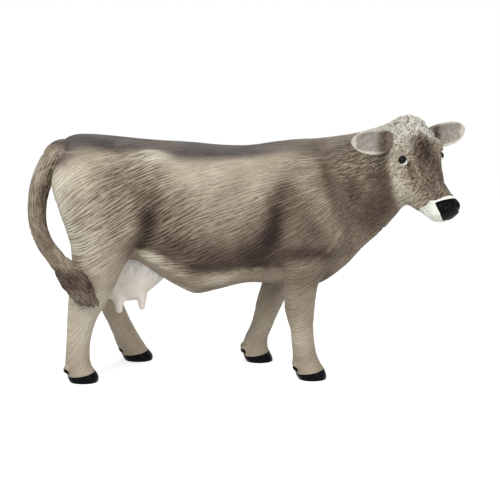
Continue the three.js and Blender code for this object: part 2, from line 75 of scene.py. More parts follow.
# X, underside, top, half width, shift to the left, level of the widest place
TRUNK_ROWS: Rows = (
    (-58.2, 53, 67, 4, 0, 0.55),
    (-57.2, 47, 72.8, 8.5, 0, 0.6),
    (-54.6, 42.4, 75.6, 12, 0, 0.6),
    (-49.5, 39, 76.2, 14.8, 0, 0.6),
    (-43, 37, 75.7, 16.4, 0, 0.58),
    (-35, 36, 74.8, 17.2, 0, 0.55),
    (-29, 32.4, 74.2, 17.6, 0, 0.52),
    (-22, 28.2, 73.7, 18.4, 0, 0.5),
    (-16, 25.6, 73.2, 19, 0, 0.48),
    (-9, 27, 72.6, 19.6, 0, 0.48),
    (0, 29.1, 72.5, 19.8, 0, 0.48),
    (9, 28.8, 73.7, 18.6, 0, 0.48),
    (17, 27.8, 74.6, 16.6, 0, 0.5),
    (24, 29, 75, 14.4, 0, 0.52),
    (31, 34, 75.9, 12, 0, 0.54),
    (37, 40.6, 77.2, 10.2, -0.6, 0.54),
    (43, 46.4, 79.4, 9.1, -2, 0.55),
    (48, 52.8, 81.4, 8.2, -4.2, 0.55),
    (52, 58, 81, 6.4, -6.2, 0.55),
    (54.5, 64, 77, 3, -8, 0.5),
)
# Height, rear, front, half width, distance from the midline
HAUNCH_ROWS: Rows = (
    (42, -54.4, -34.6, 7.6, 11),
    (48, -56, -32.2, 8.7, 10),
    (55, -58.4, -31, 9.2, 9.5),
    (62, -60.2, -31.8, 8.6, 8.8),
    (67.5, -59, -34, 6.4, 7.6),
    (71.5, -55.4, -38, 3.2, 6.8),
)
HIND_RIGHT_ROWS: Rows = (
    (-1.5, -54.8, -46.8, 4.2, 13.2),
    (0, -55.4, -46.4, 4.5, 13.2),
    (1.3, -56, -46.4, 4.8, 13.2),
    (3.4, -56.2, -47.6, 4.5, 13.2),
    (5, -56.6, -48.5, 4.2, 13.2),
    (8, -56.6, -49, 4, 13.2),
    (13, -56.2, -48.6, 3.9, 13.1),
    (19.3, -55.9, -46.8, 4.2, 13),
    (25, -55.5, -43.6, 4.7, 12.9),
    (31, -54.8, -40.5, 5.2, 12.8),
    (36, -54.3, -38, 5.9, 12.4),
    *HAUNCH_ROWS,
)
HIND_LEFT_ROWS: Rows = (
    (-1.5, -39.2, -31, 4.2, 13),
    (0, -39.8, -30.6, 4.5, 13),
    (1.3, -40.5, -30.8, 4.8, 13),
    (3.4, -41.4, -32.4, 4.5, 13),
    (5, -42.4, -33.4, 4.2, 13),
    (8, -43.4, -35.2, 4, 13),
    (11.2, -44.7, -36.9, 3.9, 13),
    (15.3, -46.6, -38.8, 4, 13),
    (19.3, -48.4, -40.3, 4.2, 13),
    (25, -51, -42, 4.7, 12.9),
    (31, -53.2, -40.8, 5.2, 12.8),
    (36, -54.2, -38.2, 5.9, 12.4),
    *HAUNCH_ROWS,
)
UPPER_ARM_ROWS: Rows = (
    (46, 9.6, 31.2, 7.7, 9.2),
    (53, 8.4, 31.6, 7.6, 8.5),
    (60, 9.2, 29.8, 6, 7.6),
    (66, 12, 26, 3, 6.6),
)
FORE_RIGHT_ROWS: Rows = (
    (-1.5, 17.2, 25, 4.2, 9.9),
    (0, 16.6, 25.4, 4.5, 9.9),
    (1.3, 15.8, 25.4, 4.8, 9.9),
    (3.4, 15.2, 24.4, 4.5, 9.9),
    (5, 14.7, 23.4, 4.2, 9.9),
    (8, 14.8, 22.2, 4, 10),
    (11.5, 14.4, 21.6, 3.8, 10.1),
    (15.4, 14.1, 21.2, 3.9, 10.2),
    (19.3, 13, 21.3, 4.3, 10.3),
    (23.2, 12.1, 21.6, 4.5, 10.4),
    (27, 12.1, 22, 4.7, 10.5),
    (31, 12.1, 22.9, 5.1, 10.6),
    (35, 12, 24.9, 5.8, 10.4),
    (40, 11.2, 28.4, 6.9, 9.8),
    *UPPER_ARM_ROWS,
)
FORE_LEFT_ROWS: Rows = (
    (-1.5, 0.6, 8.4, 4.2, 11.6),
    (0, 0, 8.8, 4.5, 11.6),
    (1.3, -0.7, 8.4, 4.8, 11.6),
    (3.4, -1, 7.4, 4.5, 11.6),
    (5, -1, 7, 4.2, 11.6),
    (8, -0.3, 7.2, 4, 11.5),
    (11.2, 1.2, 8.5, 3.8, 11.4),
    (15.3, 2.5, 10.2, 3.9, 11.3),
    (19.3, 3.3, 12, 4.3, 11.2),
    (23.2, 4.3, 13.9, 4.5, 11),
    (27, 5.6, 16.6, 4.7, 10.9),
    (31, 7.7, 20.2, 5.1, 10.8),
    (35, 10, 24, 5.8, 10.4),
    (40, 10.8, 28.2, 6.9, 9.8),
    *UPPER_ARM_ROWS,
)
# Along the face, jaw, forehead, half width, shift, level of the widest place
SKULL_ROWS: Rows = (
    (-14.6, -2, 1.6, 2.6, 0, 0.5),
    (-13.2, -5.6, 2.9, 5, 0, 0.55),
    (-10, -9.4, 4, 6.8, 0, 0.6),
    (-5, -13, 3.4, 7.9, 0, 0.62),
    (0, -15.2, 2.6, 8.1, 0, 0.62),
    (4.5, -15.2, 1.7, 6.6, 0, 0.48),
    (9, -13.5, 1.1, 5.3, 0, 0.44),
    (13, -10.9, 1.1, 4.9, 0, 0.48),
    (16.5, -8.9, 1.5, 4.9, 0, 0.5),
    (18.2, -8, 1.2, 4.7, 0, 0.5),
    (19.3, -7, 0.3, 4, 0, 0.5),
    (20.1, -5.9, -1, 2.9, 0, 0.5),
    (20.6, -4.6, -2.3, 1.4, 0, 0.5),
)
# X, underside, top, half width, shift, level of the widest place
UDDER_ROWS: Rows = (
    (-48.4, 31, 36, 2, 0, 0.5),
    (-46.6, 26, 40, 5, 0, 0.5),
    (-43, 23.4, 41, 6.5, 0, 0.5),
    (-38, 22.8, 41, 7.1, 0, 0.5),
    (-34, 23.6, 41, 7.1, 0, 0.5),
    (-30.5, 26.2, 40, 6.6, 0, 0.5),
    (-27.6, 28.8, 37, 5.2, 0, 0.5),
    (-25.6, 31, 34, 2.4, 0, 0.5),
)
# Root first: X, Y, Z, half width, half thickness
TAIL_ROWS: Rows = (
    (-52.5, 0, 70.6, 3.4, 3.4),
    (-58.2, 0, 70.6, 3.9, 3.5),
    (-61.8, -0.3, 66.5, 3.5, 3.3),
    (-64.4, -1, 60.6, 3.3, 3.2),
    (-65.5, -3, 54.4, 3, 2.8),
    (-65, -6.2, 48.4, 2.8, 2.7),
    (-62.6, -10.4, 43.5, 2.7, 2.5),
    (-58.9, -14.6, 39.8, 2.8, 2.3),
    (-55.5, -18.2, 36.5, 3.6, 2.1),
    (-52.4, -20, 33, 4.2, 2),
    (-49.4, -20.2, 29.2, 3.3, 1.6),
    (-47.2, -19.8, 26, 1.1, 0.8),
)
# Distance from the root, half width, half thickness, cup
EAR_ROWS: Rows = (
    (-1, 2.3, 1.6, 0),
    (2, 3.3, 1.4, 0.4),
    (5, 3.8, 1, 1.2),
    (8.5, 3.8, 0.85, 1.5),
    (12, 3.2, 0.8, 1.2),
    (14.4, 2.1, 0.7, 0.7),
    (15.6, 0.8, 0.5, 0.2),
)
# Where the hair of the head fans out from, in the head's axes
CROWN: Point = (-9, 0, 5)
# Where the ears are rooted in the head's axes, right and left
EAR_ROOTS: tuple[Point, Point] = ((-8.2, -7.6, -1.4), (-8.2, 6.4, -1.4))
EAR_LIFT = 5.0
# Tips of the teats: X, Z
TEAT_TIPS = ((-40.2, 19.6), (-33, 20.6))
TEAT_SPREAD = 3.7

TRUNK_SQUARENESS = 2.1
LIMB_SQUARENESS = 2.2
HEAD_SQUARENESS = 2.1
UDDER_SQUARENESS = 2.4
HIND_SEAM_HEIGHT = 34.0
FORE_SEAM_HEIGHT = 30.0
HEAD_PLACE: Point = (55, -11, 70.4)
HEAD_TURN = 55.0
HEAD_BEND = 46.0
NECK_SEAM_POINT: Point = (46, -4, 66)
NECK_SEAM_NORMAL: Point = (0.9, -0.39, 0.17)
RIGHT_FORE_SOLE = (18.4, -9.9)
# How far the form of each moulding runs on past its seam, where the saw then cuts it
PAST_SEAM = 1.6
# Level at which a hoof's heel, toe and middle are read
SOLE_LEVEL = 1.3
# Distance of the two dewclaws from the middle of their leg
DEWCLAW_SPREAD = 2.3


# Curves, noise and distances


def through(rows: Rows, at: Array) -> Array:
    """Columns of a table on a smooth curve through its rows.

    A cubic runs between two rows, and its slope at a row is that of the line between that row's neighbours.

    Args:
        rows: The place in the first column, and the values after it.
        at: Places to read.

    Returns:
        One row of values for each place.
    """
    table = np.asarray(rows, float)
    place, values = table[:, 0], table[:, 1:]
    slope = np.gradient(values, axis=0) / np.gradient(place)[:, None]
    clipped = np.clip(at, place[0], place[-1])
    left = np.clip(np.searchsorted(place, clipped) - 1, 0, len(place) - 2)
    span = place[left + 1] - place[left]
    t = ((clipped - place[left]) / span)[:, None]
    start, end = values[left], values[left + 1]
    start_slope = slope[left] * span[:, None]
    end_slope = slope[left + 1] * span[:, None]
    smooth = t * t * (3 - 2 * t)
    return (
        start
        + (end - start) * smooth
        + start_slope * t * (1 - t) ** 2
        - end_slope * t * t * (1 - t)
    )


def ease(values: Array, low: float, high: float) -> Array:
    """A smooth step from 0 at low to 1 at high; low may be the greater."""
    t = np.clip((values - low) / (high - low), 0, 1)
    return t * t * (3 - 2 * t)


def join(a: Array, b: Array, reach: float) -> Array:
    """The union of two fields: the least of both, less a parabola where they are within the reach."""
    near = np.clip(0.5 + 0.5 * (b - a) / reach, 0, 1)
    return b + (a - b) * near - reach * near * (1 - near)


def carve(a: Array, b: Array, reach: float) -> Array:
    """Field a less what field b holds, rounded over a reach."""
    return -join(-a, b, reach)


def unit(vectors: Array) -> Array:
    """Vectors brought to a length of one."""
    return vectors / np.maximum(np.linalg.norm(vectors, axis=-1, keepdims=True), 1e-6)


def path_distance(points: Array, path: Rows) -> Array:
    """Distance from points to a line through a few places, in as many dimensions as they have.

    For each stretch, a point's share along it is clipped to the stretch, and the least distance counts.

    Args:
        points: Places in mm.
        path: The line's own places; one alone is a dot.

    Returns:
        The distance of each point.
    """
    places = np.asarray(path, float)
    if len(places) == 1:
        return np.linalg.norm(points - places[0], axis=1)
    best = np.full(len(points), np.inf)
    for start, end in zip(places[:-1], places[1:]):
        step = end - start
        offset = points - start
        share = np.clip(offset @ step / (step @ step), 0, 1)
        gap = offset - share[:, None] * step
        best = np.minimum(best, np.einsum("ij,ij->i", gap, gap))
    return np.sqrt(best)


@dataclass(frozen=True)
class Grain:
    """Smooth random values in space, made by easing between random numbers on a turned lattice."""

    pitch: float
    seed: int
    cells: int = 48

    def at(self, points: Array) -> Array:
        """Values of mean 0 and spread about 1 at points in mm.

        The eight numbers round a point are mixed by its eased shares along the three axes of its cell.
        """
        turned = np.array(Matrix.Rotation(0.7, 3, Vector((1, 2, 3))))
        table = np.random.default_rng(self.seed).standard_normal((self.cells,) * 3)
        place = points @ turned.T / self.pitch
        cell = np.floor(place).astype(np.int64)
        share = place - cell
        share = share * share * (3 - 2 * share)
        total = np.zeros(len(points))
        for corner in range(8):
            far = (corner >> np.arange(3)) & 1
            weight = np.where(far, share, 1 - share).prod(axis=1)
            total += weight * table[tuple((cell + far).T % self.cells)]
        return total * 1.7


def combed(points: Array, along: Array, grain: Grain, length: float, steps: int = 11) -> Array:
    """Grain drawn out into strokes: its weighted mean on a short line through each point.

    Args:
        points: Places in mm.
        along: The unit direction of the hair at each place.
        grain: What is drawn out; its pitch is the width of a stroke.
        length: Length of a stroke.
        steps: Samples on the line.

    Returns:
        Values of mean 0 and spread about 1.
    """
    total = np.zeros(len(points))
    power = 0.0
    for share in np.linspace(-0.5, 0.5, steps):
        weight = math.cos(math.pi * share * 0.9)
        total += weight * grain.at(points + along * (share * length))
        power += weight
    mean = total / power
    return (mean - mean.mean()) / (mean.std() + 1e-9)


# Bodies as fields: below zero inside, and about a distance in mm outside


@dataclass(frozen=True)
class OvalBody:
    """Ovals threaded on a straight axis, each with its own underside, top, width and widest level."""

    rows: Rows
    squareness: float
    origin: Point = (0, 0, 0)
    axes: tuple[Point, Point, Point] = ((1, 0, 0), (0, 0, 1), (0, 1, 0))
    rounding: float = 1.0

    def distance(self, points: Array) -> Array:
        """The field at points.

        In the plane of its oval a point has a share of the oval's radius. The field is the point's
        distance from the oval's middle, times one less the inverse of that share. Past either end
        the distance to the end's plane counts too.
        """
        local = (points - np.array(self.origin, float)) @ np.array(self.axes, float).T
        at, up, across = local.T
        fine = np.arange(self.rows[0][0], self.rows[-1][0] + 0.2, 0.2)
        table = through(self.rows, fine)
        low, high, half, shift, level = (np.interp(at, fine, column) for column in table.T)
        middle = low + (high - low) * level
        rise = up - middle
        reach = np.where(rise > 0, high - middle, middle - low)
        aside = across - shift
        power = self.squareness
        share = (np.abs(aside / half) ** power + np.abs(rise / reach) ** power) ** (1 / power)
        radius = np.hypot(aside, rise)
        ring = radius - radius / np.maximum(share, 1e-6)
        ring = np.where(share < 1e-6, -np.minimum(half, reach), ring)
        ends = np.maximum(self.rows[0][0] - at, at - self.rows[-1][0])
        return -join(-ring, -ends, self.rounding)


@dataclass(frozen=True)
class Knob:
    """An ellipsoid with its middle and three half sizes, in the axes given."""

    middle: Point
    sizes: Point
    origin: Point = (0, 0, 0)
    axes: tuple[Point, Point, Point] = ((1, 0, 0), (0, 1, 0), (0, 0, 1))

    def distance(self, points: Array) -> Array:
        """The field: the length in half sizes, less one, scaled back to mm by the field's own slope."""
        local = (points - np.array(self.origin, float)) @ np.array(self.axes, float).T
        offset = (local - np.array(self.middle, float)) / np.array(self.sizes, float)
        length = np.linalg.norm(offset, axis=1)
        slope = np.linalg.norm(offset / np.array(self.sizes, float), axis=1)
        return length * (length - 1) / np.maximum(slope, 1e-6)


def both_sides(middle: Point, *rest: Point | tuple[Point, Point, Point]) -> tuple[Knob, Knob]:
    """An ellipsoid to the right of the midline and its like to the left."""
    x, y, z = middle
    return Knob((x, -y, z), *rest), Knob((x, y, z), *rest)


def upright_rows(rows: Rows, side: Side) -> Rows:
    """A leg's rows as those of an oval body: rear and front for underside and top, and the shift in Y."""
    return tuple((z, rear, front, half, side.value * out, 0.5) for z, rear, front, half, out in rows)


def head_axes() -> tuple[Point, Point, Point]:
    """The head's axes in the figure's: along the face, to the left, and out of the forehead."""
    bend, turn = math.radians(HEAD_BEND), math.radians(HEAD_TURN)
    rotation = Matrix.Rotation(-turn, 3, "Z") @ Matrix.Rotation(bend, 3, "Y")
    return tuple(tuple(rotation.col[i]) for i in range(3))


HEAD_AXES = head_axes()


def to_head(points: Array) -> Array:
    """Points of the figure in the head's axes: along the face, to the left, out of the forehead."""
    return (points - np.array(HEAD_PLACE)) @ np.array(HEAD_AXES).T


def from_head(points: Array) -> Array:
    """Points in the head's axes back in the figure's."""
    return points @ np.array(HEAD_AXES) + np.array(HEAD_PLACE)


# Meshes


@dataclass
class Skin:
    """A surface as points in mm and faces of four points each."""

    points: Array
    faces: Array

    def sides(self) -> Array:
        """Both ends of each side of each face."""
        return np.stack([self.faces, np.roll(self.faces, -1, axis=1)], -1).reshape(-1, 2)

    def refined(self) -> "Skin":
        """The same surface with each face split in four, at its middle and the middles of its edges."""
        quads = self.faces
        unique, which = np.unique(np.sort(self.sides(), axis=1), axis=0, return_inverse=True)
        first_edge = len(self.points)
        first_middle = first_edge + len(unique)
        edge = which.reshape(-1, 4) + first_edge
        middle = np.arange(len(quads)) + first_middle
        middles = self.points[unique].mean(1), self.points[quads].mean(1)
        points = np.concatenate([self.points, *middles])
        before = np.roll(edge, 1, axis=1)
        faces = np.stack([quads, edge, np.repeat(middle[:, None], 4, 1), before], -1)
        return Skin(points, faces.reshape(-1, 4))

    def relaxed(self, share: float = 0.5) -> "Skin":
        """The same surface with each point moved a share of the way to the mean of its neighbours."""
        near, far = self.sides().T
        size = len(self.points)
        count = np.bincount(near, minlength=size)
        total = np.stack([np.bincount(near, self.points[far, axis], size) for axis in range(3)], -1)
        mean = total / np.maximum(count, 1)[:, None]
        return Skin(self.points + (mean - self.points) * share, self.faces)


def surface_net(shape: Field, low: Point, high: Point, pitch: float) -> Skin:
    """The zero surface of a field, with one point in each cell of a grid that the surface crosses.

    A cell's point is the mean of where the surface cuts its twelve edges, and each grid edge that is
    cut gives a face between the four cells round it.

    Args:
        shape: The field.
        low: Lowest corner of the grid.
        high: Highest corner of the grid.
        pitch: Size of a cell.

    Returns:
        A closed surface whose faces point outwards.
    """
    marks = [np.arange(a, b + pitch, pitch) for a, b in zip(low, high)]
    size = tuple(len(m) for m in marks)
    grid = np.stack(np.meshgrid(*marks, indexing="ij"), -1).reshape(-1, 3)
    values = shape(grid).reshape(size)
    cells = tuple(n - 1 for n in size)
    total = np.zeros((*cells, 3))
    count = np.zeros(cells)
    for axis in range(3):
        others = [a for a in range(3) if a != axis]
        for du in (0, 1):
            for dv in (0, 1):
                window = [slice(None)] * 3
                window[others[0]] = slice(du, cells[others[0]] + du)
                window[others[1]] = slice(dv, cells[others[1]] + dv)
                start, end = list(window), list(window)
                start[axis], end[axis] = slice(0, cells[axis]), slice(1, cells[axis] + 1)
                a, b = values[tuple(start)], values[tuple(end)]
                cut = (a < 0) != (b < 0)
                share = np.where(cut, a / np.where(cut, a - b, 1), 0)
                total[..., axis] += share
                total[..., others[0]] += cut * du
                total[..., others[1]] += cut * dv
                count += cut
    active = count > 0
    number = np.cumsum(active.ravel()).reshape(cells) - 1
    where = np.argwhere(active)
    points = np.array(low, float) + (where + total[active] / count[active][:, None]) * pitch
    faces = []
    for axis in range(3):
        b, c = (axis + 1) % 3, (axis + 2) % 3
        window = [slice(1, -1)] * 3
        window[axis] = slice(0, cells[axis])
        ahead = list(window)
        ahead[axis] = slice(1, cells[axis] + 1)
        start, end = values[tuple(window)] < 0, values[tuple(ahead)] < 0
        at = np.argwhere(start != end)
        at[:, b] += 1
        at[:, c] += 1
        leaving = (start & ~end)[start != end]
        corners = []
        for db, dc in ((1, 1), (0, 1), (0, 0), (1, 0)):
            cell = at.copy()
            cell[:, b] -= db
            cell[:, c] -= dc
            corners.append(number[tuple(cell.T)])
        quad = np.stack(corners, -1)
        faces.append(np.where(leaving[:, None], quad, quad[:, ::-1]))
    return Skin(points, np.concatenate(faces))


def slope_of(shape: Field, points: Array, step: float = 0.04) -> tuple[Array, Array]:
    """The field at points and its slope there, from a small step along each axis."""
    here = shape(points)
    slope = np.empty_like(points)
    for axis in range(3):
        moved = points.copy()
        moved[:, axis] += step
        slope[:, axis] = (shape(moved) - here) / step
    return here, slope


def settle(skin: Skin, shape: Field, rounds: int) -> tuple[Skin, Array]:
    """Moves a skin onto the zero surface of a field.

    Each round takes every point back along the slope by the field over the slope's length, and by no
    more than half a millimetre.

    Args:
        skin: Any skin close to the field's surface.
        shape: The field.
        rounds: How many times to move.

    Returns:
        The moved skin, and the outward unit normals of the field.
    """
    points = skin.points
    for _ in range(rounds):
        here, slope = slope_of(shape, points)
        steepness = np.maximum(np.einsum("ij,ij->i", slope, slope), 0.05)
        move = np.clip(here / steepness, -0.5, 0.5)
        points = points - slope * move[:, None]
    _, slope = slope_of(shape, points)
    return Skin(points, skin.faces), unit(slope)


def skinned(shape: Field, low: Point, high: Point, pitch: float, splits: int) -> tuple[Skin, Array]:
    """A fine skin of a field: a net laid on the field, split and laid on it again.

    Args:
        shape: The field.
        low: Lowest corner of its box.
        high: Highest corner of its box.
        pitch: The net's cell.
        splits: How often each face is split in four.

    Returns:
        The skin, and its outward unit normals.
    """
    skin = surface_net(shape, low, high, pitch)
    for _ in range(2):
        skin, _ = settle(skin.relaxed(), shape, 2)
    for _ in range(splits):
        skin, _ = settle(skin.refined(), shape, 1)
    return settle(skin.relaxed(0.3), shape, 2)


def tube_skin(rings: Array) -> Skin:
    """A closed skin over rings of points, as an array of ring, place on the ring, and X Y Z.

    Quads join neighbouring rings, and each end is closed by quads that fold the last ring in half.
    """
    count, around = rings.shape[:2]
    index = np.arange(count * around).reshape(count, around)
    step = np.roll(index, -1, axis=1)
    sides = np.stack([index[:-1], step[:-1], step[1:], index[1:]], -1).reshape(-1, 4)
    half = around // 2
    k = np.arange(half - 1)
    near, far = index[0], index[-1]
    first = np.stack([near[k], near[-1 - k], near[-2 - k], near[k + 1]], -1)
    last = np.stack([far[k], far[k + 1], far[-2 - k], far[-1 - k]], -1)
    faces = np.concatenate([sides, first, last])
    points = rings.reshape(-1, 3)
    a, b, c = points[faces[:, 0]], points[faces[:, 1]], points[faces[:, 2]]
    volume = np.einsum("ij,ij->i", a, np.cross(b, c)).sum()
    return Skin(points, faces if volume > 0 else faces[:, ::-1])


def figure_shift() -> Array:
    """Where the frame puts the figure's own origin, in mm, read off the right fore sole's mount."""
    mount = next(m for m in FRAME["record"]["mounts"] if m["name"] == "right_fore_sole")
    place = np.array(mount["pos_m"]) / MM
    return place - np.array([*RIGHT_FORE_SOLE, 0])


SHIFT = figure_shift()


# Less than this far past a plane, in mm, a face lies on it
TOUCHING = 1e-4


@dataclass(frozen=True)
class Saw:
    """A flat cut: what lies past the plane is dropped and the hole is closed."""

    point: Point
    normal: Point
    within: tuple[Point, Point] | None = None

    def cut(self, form: bmesh.types.BMesh) -> None:
        """Cuts a mesh in figure mm; with a box given, only the faces whose middle lies in it."""
        normal = Vector(self.normal).normalized()
        origin = Vector(self.point)

        low, high = self.within or ((-math.inf,) * 3, (math.inf,) * 3)

        def held(face: bmesh.types.BMFace) -> bool:
            """Whether the middle of a face lies in the box."""
            return all(a < m < b for a, m, b in zip(low, face.calc_center_median(), high))

        faces = [f for f in form.faces if held(f)]
        edges = {e for f in faces for e in f.edges}
        points = {v for f in faces for v in f.verts}
        bmesh.ops.bisect_plane(
            form, geom=[*points, *edges, *faces], plane_co=self.point, plane_no=self.normal
        )
        past = [f for f in form.faces if (f.calc_center_median() - origin).dot(normal) > TOUCHING]
        bmesh.ops.delete(form, geom=[f for f in past if held(f)], context="FACES")
        rim = [e for e in form.edges if e.is_boundary]
        for edge in rim:
            edge.smooth = False
        made = bmesh.ops.holes_fill(form, edges=rim, sides=0)
        caps = bmesh.ops.triangulate(form, faces=made["faces"])
        for face in caps["faces"]:
            face.smooth = False


def moulding(
    name: str,
    skin: Skin,
    marks: dict[str, Array],
    finish: bpy.types.Material,
    node: str | None = None,
    saws: tuple[Saw, ...] = (),
) -> bpy.types.Object:
    """Makes one piece of the figure from a skin, and lets it ride on the frame.

    Args:
        name: The piece's name.
        skin: Its surface in the figure's mm.
        marks: Values for each point that its finish reads, by name.
        finish: Its material.
        node: The CAD node that it stands for.
        saws: Cuts to make once the surface is in place.

    Returns:
        The piece, at the origin with its place in its mesh.
    """
    mesh = bpy.data.meshes.new(name)
    mesh.from_pydata(skin.points, [], skin.faces)
    mesh.polygons.foreach_set("use_smooth", np.ones(len(skin.faces), bool))
    for key, values in marks.items():
        layer = mesh.attributes.new(key, "FLOAT", "POINT")
        layer.data.foreach_set("value", values.astype(np.float32))
    if saws:
        form = bmesh.new()
        form.from_mesh(mesh)
        for saw in saws:
            saw.cut(form)
        form.to_mesh(mesh)
        form.free()
    place = Matrix.Translation(Vector(SHIFT * MM)) @ Matrix.Diagonal((MM, MM, MM, 1))
    mesh.transform(place)
    mesh.materials.append(finish)
    mesh.update()
    piece = bpy.data.objects.new(name, mesh)
    bpy.context.scene.collection.objects.link(piece)
    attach(piece, BODY)
    if node is not None:
        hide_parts(node)
    LOG.info("%s: %d points, %d faces", name, len(mesh.vertices), len(mesh.polygons))
    return piece


# Relief and hair


@dataclass(frozen=True)
class Stroke:
    """A pass of a tool along a path, felt less with distance from it."""

    path: Rows
    width: float

    def felt(self, points: Array) -> Array:
        """One on the path, falling off as a bell with the distance in widths."""
        return np.exp(-((path_distance(points, self.path) / self.width) ** 2))


@dataclass(frozen=True)
class Touch(Stroke):
    """A stroke of the modelling tool: raised above zero height, pressed in below."""

    height: float

    def on(self, points: Array) -> Array:
        """How far the surface moves out."""
        return self.height * self.felt(points)


# Strokes on the flanks, as X and Z seen from the side; both sides get them
FLANK_TOUCHES = (
    Touch(((-30, 71.6), (-27.5, 71.2)), 3.6, 0.5),
    Touch(((-54, 70), (-50, 72)), 3, 0.4),
    Touch(((-22, 66.5), (-19, 67.5)), 5, -1),
    Touch(((-29.6, 66), (-30, 52), (-31.4, 46), (-33, 42)), 1.5, -0.8),
    Touch(((-34.5, 62), (-35, 52), (-36, 45)), 3.2, 0.35),
    Touch(((-33, 40.6), (-25, 36.4), (-17, 30.9), (4.4, 33.3)), 1.3, 0.9),
    Touch(((-30, 42.8), (-18, 36), (-13, 34.8), (5, 37.2)), 1.3, -0.55),
    Touch(((22.5, 74), (26.2, 65.5), (28.2, 56), (32.5, 47)), 1.7, -0.65),
    Touch(((16, 70.5), (18.5, 64), (23, 58), (28, 52)), 2.3, 0.6),
    Touch(((12.4, 69), (14.4, 63), (19, 56.5), (28, 47)), 1, -0.45),
    Touch(((12.5, 63), (9.8, 57), (8.6, 51), (7.8, 44)), 2.3, -0.9),
    Touch(((15, 54), (17, 47)), 3.8, 0.5),
)
# Smaller strokes, which only the skin has
FINE_TOUCHES = (
    Touch(((-14, 29), (-8, 28.8), (0, 30.6)), 0.6, -0.3),
    Touch(((30.4, 49.6), (27.4, 44.6), (25.2, 41), (22.6, 33)), 0.8, 0.3),
    Touch(((33, 44.5), (31, 39), (28, 35.6)), 0.8, -0.35),
    Touch(((21, 50), (22.6, 44), (21.4, 38)), 1.4, -0.25),
    Touch(((-46.5, 62), (-45, 52), (-44.5, 44)), 2.2, -0.2),
    Touch(((36, 70), (37.5, 62), (37, 54)), 1.6, -0.2),
    Touch(((41.5, 68), (42.3, 61), (43.4, 57)), 1.4, -0.25),
    *(Touch(((x + 2, 67), (x, 58), (x - 3, 48)), 1.5, 0.22) for x in (-13, -8.5, -4, 0.5, 5)),
)

# Strokes on the head, in its own axes with both sides folded together: along, out, up
EYE_PLACE = (-0.88, -1.05)
# Where the white ring of the muzzle and the black pad of the nose begin along the face
MUZZLE_RING = 15.2
NOSE_PAD = 16.4
LID: Rows = tuple(
    (EYE_PLACE[0] + 1.75 * math.cos(turn), 7.6, EYE_PLACE[1] + 1.65 * math.sin(turn))
    for turn in np.linspace(0, 2 * math.pi, 13)
)
HEAD_TOUCHES = (
    Touch(((-3.6, 5.4, 1.6), (-1, 6.8, 1.6), (1.2, 6.4, 0.3)), 1.0, 0.22),
    Touch(LID, 0.5, 0.3),
    Touch(((1.4, 6.6, -0.8), (3.2, 5.8, -2)), 0.9, -0.5),
    Touch(((-1.4, 5.2, 0.8), (4.5, 4.6, -0.8), (7.5, 4.6, -2.6)), 0.7, 0.35),
    Touch(((-0.2, 6.2, 0.1), (4, 5.6, -1.8), (6.4, 5.4, -3.2)), 0.6, 0.2),
    Touch(((2.5, 7.4, -8), (4.5, 6.8, -9)), 3.6, 0.5),
    Touch(((-5.4, 7, 0.4),), 2.2, -0.6),
    Touch(((0.5, 0, 2.4), (3, 0, 2)), 3.2, -0.55),
    Touch(((4, 0, 1.7), (13, 0, 1.1)), 1.7, 0.3),
    Touch(((6, 3.6, 0), (13, 3.6, -0.4)), 1, -0.35),
    Touch(((17.4, 3.9, 0.4), (19.4, 3.6, -1.6)), 1.1, 0.4),
    Touch(((18.3, 2.5, 0.9), (19.2, 3.1, 0.1), (19.3, 3.7, -1.1)), 0.55, -0.95),
    Touch(((21, 0, -5), (19.6, 3, -5.4), (16, 4.6, -6), (12.8, 4.8, -6.6)), 0.5, -0.5),
    Touch(((17.5, 0, 0.9), (20.8, 0, -4)), 0.4, -0.25),
    Touch(((17.6, 0, -9),), 1.8, 0.3),
    Touch(((18, 4, -3.4),), 1.4, 0.25),
)


def folded(points: Array) -> Array:
    """Points in the head's axes with the left half laid over the right."""
    return np.stack([points[:, 0], np.abs(points[:, 1]), points[:, 2]], -1)


# Which way the hair lies, seen from the side: X, Z, reach, degrees above forwards
LIE_OF_HAIR: Rows = (
    (-48, 69, 5, 42),
    (-54, 62, 5, 56),
    (-45, 60, 6, 33),
    (-38, 65, 5, 34),
    (-34, 68, 5, 40),
    (-42, 53, 6, 30),
    (-51, 47, 5, 30),
    (-42, 44, 5, 18),
    (-43, 35, 5, 12),
    (-29, 61, 5, 38),
    (-26, 53, 5, 36),
    (-25, 45, 4, 46),
    (-17, 58, 6, 22),
    (-8, 65, 6, 12),
    (-2, 54, 6, 20),
    (-9, 46, 6, 16),
    (4, 68, 6, 8),
    (7, 48, 5, 30),
    (11, 58, 4, 22),
    (16, 67, 5, 10),
    (18, 60, 4, 36),
    (17, 50, 5, 32),
    (18, 43, 4, 20),
    (32, 67, 6, 24),
    (31, 56, 5, 54),
    (39, 52, 6, 60),
    (25, 41, 5, 64),
    (18, 32, 5, 30),
    (18, 20, 6, 56),
    (17, 8, 6, 30),
    (8, 28, 5, 72),
    (2, 14, 9, 62),
    (-50, 22, 8, 30),
    (-50, 10, 8, 62),
    (-38, 16, 7, 30),
    (-24, 36, 4, -26),
    (-14, 31, 4, -8),
    (0, 33, 6, 10),
)


def bell_mean(points: Array, table: Rows, default: float) -> Array:
    """A value seen from the side: the mean over a table's places, each weighed by a bell of its distance.

    Args:
        points: Places in mm.
        table: X, Z, reach of the bell, value.
        default: The value far from every place.

    Returns:
        One value for each point.
    """
    total = np.full(len(points), 1e-6)
    value = np.full(len(points), 1e-6 * default)
    for x, z, reach, number in table:
        gap = (points[:, 0] - x) ** 2 + (points[:, 2] - z) ** 2
        weight = np.exp(-gap / (2 * reach**2)) + 1e-5 / (1 + gap)
        total += weight
        value += weight * number
    return value / total


